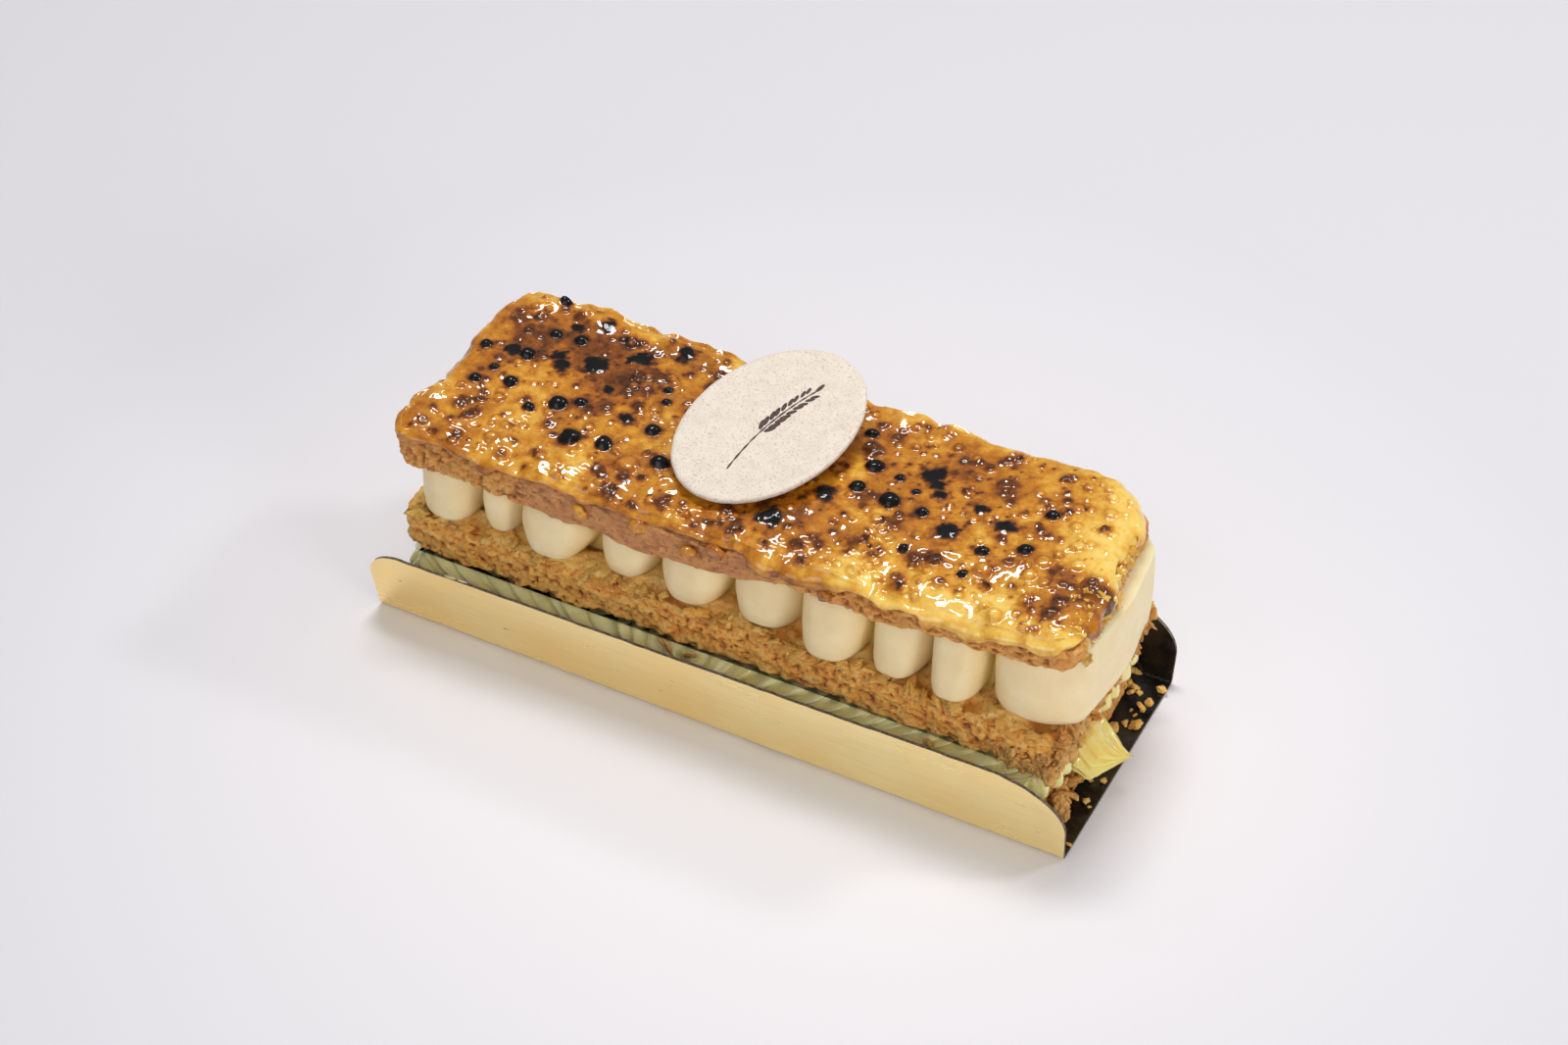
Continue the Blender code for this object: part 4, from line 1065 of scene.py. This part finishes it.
def scattered_flakes(draw):
    """Flakes on the middle and the base pastry: each one's right end, then its front side near that end."""
    flakes = []

    def flake(x, y, z, widest, thin):
        flakes.append((x, y, z, *draw.uniform(2 * thin, widest, 2), draw.uniform(thin, 2 * thin)))

    for _ in range(150):
        z = MIDDLE_PASTRY_BOTTOM + 0.4 + 7.2 * draw.random() ** 0.8
        y = -17.5 + 37 * draw.random() ** 1.4
        flake(60.4 + draw.uniform(-0.3, 1.1), y, z, 1.5, 0.25)
    for _ in range(60):
        x = draw.uniform(50, 60.5)
        z = MIDDLE_PASTRY_BOTTOM + 4.0 * draw.random() ** 1.6
        flake(x, -18.8 + draw.uniform(-0.9, 0.4), z, 1.3, 0.25)
    for _ in range(46):
        y = draw.uniform(-18.5, -2)
        flake(60.0 + draw.uniform(-0.8, 1.3), y, draw.uniform(1.6, 6.2), 1.7, 0.3)
    for _ in range(16):
        x = draw.uniform(51, 60)
        flake(x, -19.6 + draw.uniform(-0.9, 0.4), draw.uniform(3, 6.4), 1.5, 0.3)
    return flakes + list(FRONT_FLAKES)


def scattered_caramel(draw):
    """Lumps of crumbly caramel at the glaze's right end: on its side, on its top, and further back."""
    lumps = []
    for _ in range(60):
        y, z = draw.uniform(-15, -1), draw.uniform(33.5, 40.2)
        lumps.append((61.0 + draw.uniform(-0.6, 0.5), y, z, *draw.uniform(0.7, 1.5, 3)))
    for _ in range(26):
        x, y = draw.uniform(56.5, 60.5), draw.uniform(-14, -3)
        lumps.append((x, y, 41.0, *draw.uniform(0.5, 1.1, 2), 0.6))
    for _ in range(40):
        y = draw.uniform(-1, 11)
        x = 60.9 - 0.07 * y + draw.uniform(-0.6, 0.2)
        lumps.append((x, y, draw.uniform(36.5, 40), *draw.uniform(0.6, 1.1, 3)))
    return lumps


def small_pieces(side_crumb, top_crumb, caramel, soft_white):
    floor = [(x, y, CARD_THICKNESS + 0.5 * min(a, b), a, b, 0.6 * min(a, b)) for x, y, a, b in FLOOR_CRUMBS]
    bits("floor_crumbs", floor, side_crumb, "pastry", 0.45, 0.3, tone=0.5)
    draw = np.random.default_rng(17)
    bits("pastry_leaves", scattered_leaves(draw), side_crumb, "pastry", 0.75, 0.22, tone=0.3)
    bits("pastry_flakes", scattered_flakes(draw), top_crumb, "pastry", 0.7, 0.9, tone=0.35)
    bits("caramel_crumbs", scattered_caramel(draw), caramel, "glaze", 0.5, 0.8, "burn", 0.2)
    bits("syrup_drops", SYRUP_DROPS, caramel, "glaze", 0.4, 0.1, "burn", 0.38)
    bits("cream_smears", CREAM_SMEARS, soft_white, "cream", 0.3, 0.0, "fold", 1.0)


# Scene


def light(name, place, target, size, power, glossy=True, diffuse=True):
    """A soft window of light. Places and sizes are in metres, and power is in watts."""
    made = bpy.data.lights.new(name, "AREA")
    made.shape = "RECTANGLE"
    made.size, made.size_y = size
    made.energy = power
    obj = placed(name, made)
    obj.visible_glossy = glossy
    obj.visible_diffuse = diffuse
    obj.location = place
    obj.rotation_euler = (Vector(target) - Vector(place)).to_track_quat("-Z", "Y").to_euler()


def lights():
    light("key", (0.50, 0.50, 0.62), (0.02, 0, 0.02), (0.14, 0.1), 1.5)
    light("window", (-0.14, 0.25, 0.88), (0, 0, 0.03), (0.34, 0.15), 4.0)
    light("top", (-0.12, 0.3, 1.0), (-0.02, 0.2, 0.0), (1.0, 0.9), 2.5, glossy=False)
    light("fill", (0.05, -0.75, 0.55), (0, 0, 0.02), (0.8, 0.6), 2.1)
    light("card_fill", (0.05, -0.75, 0.55), (0, 0, 0.02), (0.8, 0.6), 3.3, diffuse=False)
    light("side", (0.8, -0.3, 0.3), (0.06, 0, 0.02), (0.3, 0.3), 2.2, glossy=False)
    world = bpy.data.worlds.new("studio")
    world.use_nodes = True
    sky = world.node_tree.nodes["Background"]
    sky.inputs["Color"].default_value = (0.98, 0.98, 1.0, 1)
    sky.inputs["Strength"].default_value = 0.2
    bpy.context.scene.world = world


def floor():
    """The white table, a little darker away from the slice: a painted falloff of light."""
    look = Look("floor", Roughness=0.6)
    away = look.node("ShaderNodeVectorMath", {0: look.place}, operation="LENGTH")
    # Painted light: the floor's colour darkens with distance from the slice, as light falls off
    far = look.spread(away.outputs["Value"], 60, 150)
    made = look.finish(look.mix(far, srgb(231, 228, 231), srgb(218, 216, 221)))
    mesh = bpy.data.meshes.new("floor")
    side = 3.0
    corners = [(-side, -side, 0), (side, -side, 0), (side, side, 0), (-side, side, 0)]
    mesh.from_pydata(corners, [], [(0, 1, 2, 3)])
    mesh.materials.append(made)
    placed("floor", mesh)


# The photo's camera, fitted to the card: focal length, eye in the source's frame, and angles in degrees
LENS = 65.70
EYE = np.array((169.5, -321.3, 334.0))
YAW, PITCH, ROLL = 27.44, 40.17, 0.3


def camera():
    data = bpy.data.cameras.new("camera")
    data.sensor_width = 36
    data.lens = LENS
    data.clip_start, data.clip_end = 0.01, 20
    obj = placed("camera", data)
    turned = Matrix.Translation(Vector((EYE + SHIFT) / 1000))
    for angle, axis in ((YAW, "Z"), (90 - PITCH, "X"), (ROLL, "Z")):
        turned = turned @ Matrix.Rotation(math.radians(angle), 4, axis)
    obj.matrix_world = turned
    bpy.context.scene.camera = obj


camera()
floor()
lights()
side_crumb = pastry_look(
    "crumb",
    (srgb(158, 88, 26), srgb(224, 148, 60), srgb(246, 176, 76), srgb(254, 208, 118)),
    red=srgb(255, 216, 168),
)
top_crumb = pastry_look(
    "toasted_crumb",
    (srgb(156, 86, 34), srgb(204, 130, 56), srgb(224, 156, 72), srgb(238, 186, 108)),
    red=srgb(255, 220, 176),
    pink=srgb(190, 128, 92),
)
card_case()
base_pastry(top_crumb)
custard(custard_look("custard", srgb(252, 228, 142), srgb(255, 240, 174)))
custard_tip(custard_look("custard_end", srgb(255, 216, 108), srgb(255, 234, 152)))
middle_pastry(side_crumb)
soft_white, caramel = cream_look(), glaze_look()
cream(soft_white)
top_pastry(top_crumb)
glaze(caramel)
plaque()
sprig()
small_pieces(side_crumb, top_crumb, caramel, soft_white)

bpy.context.scene.view_settings.view_transform = "Standard"
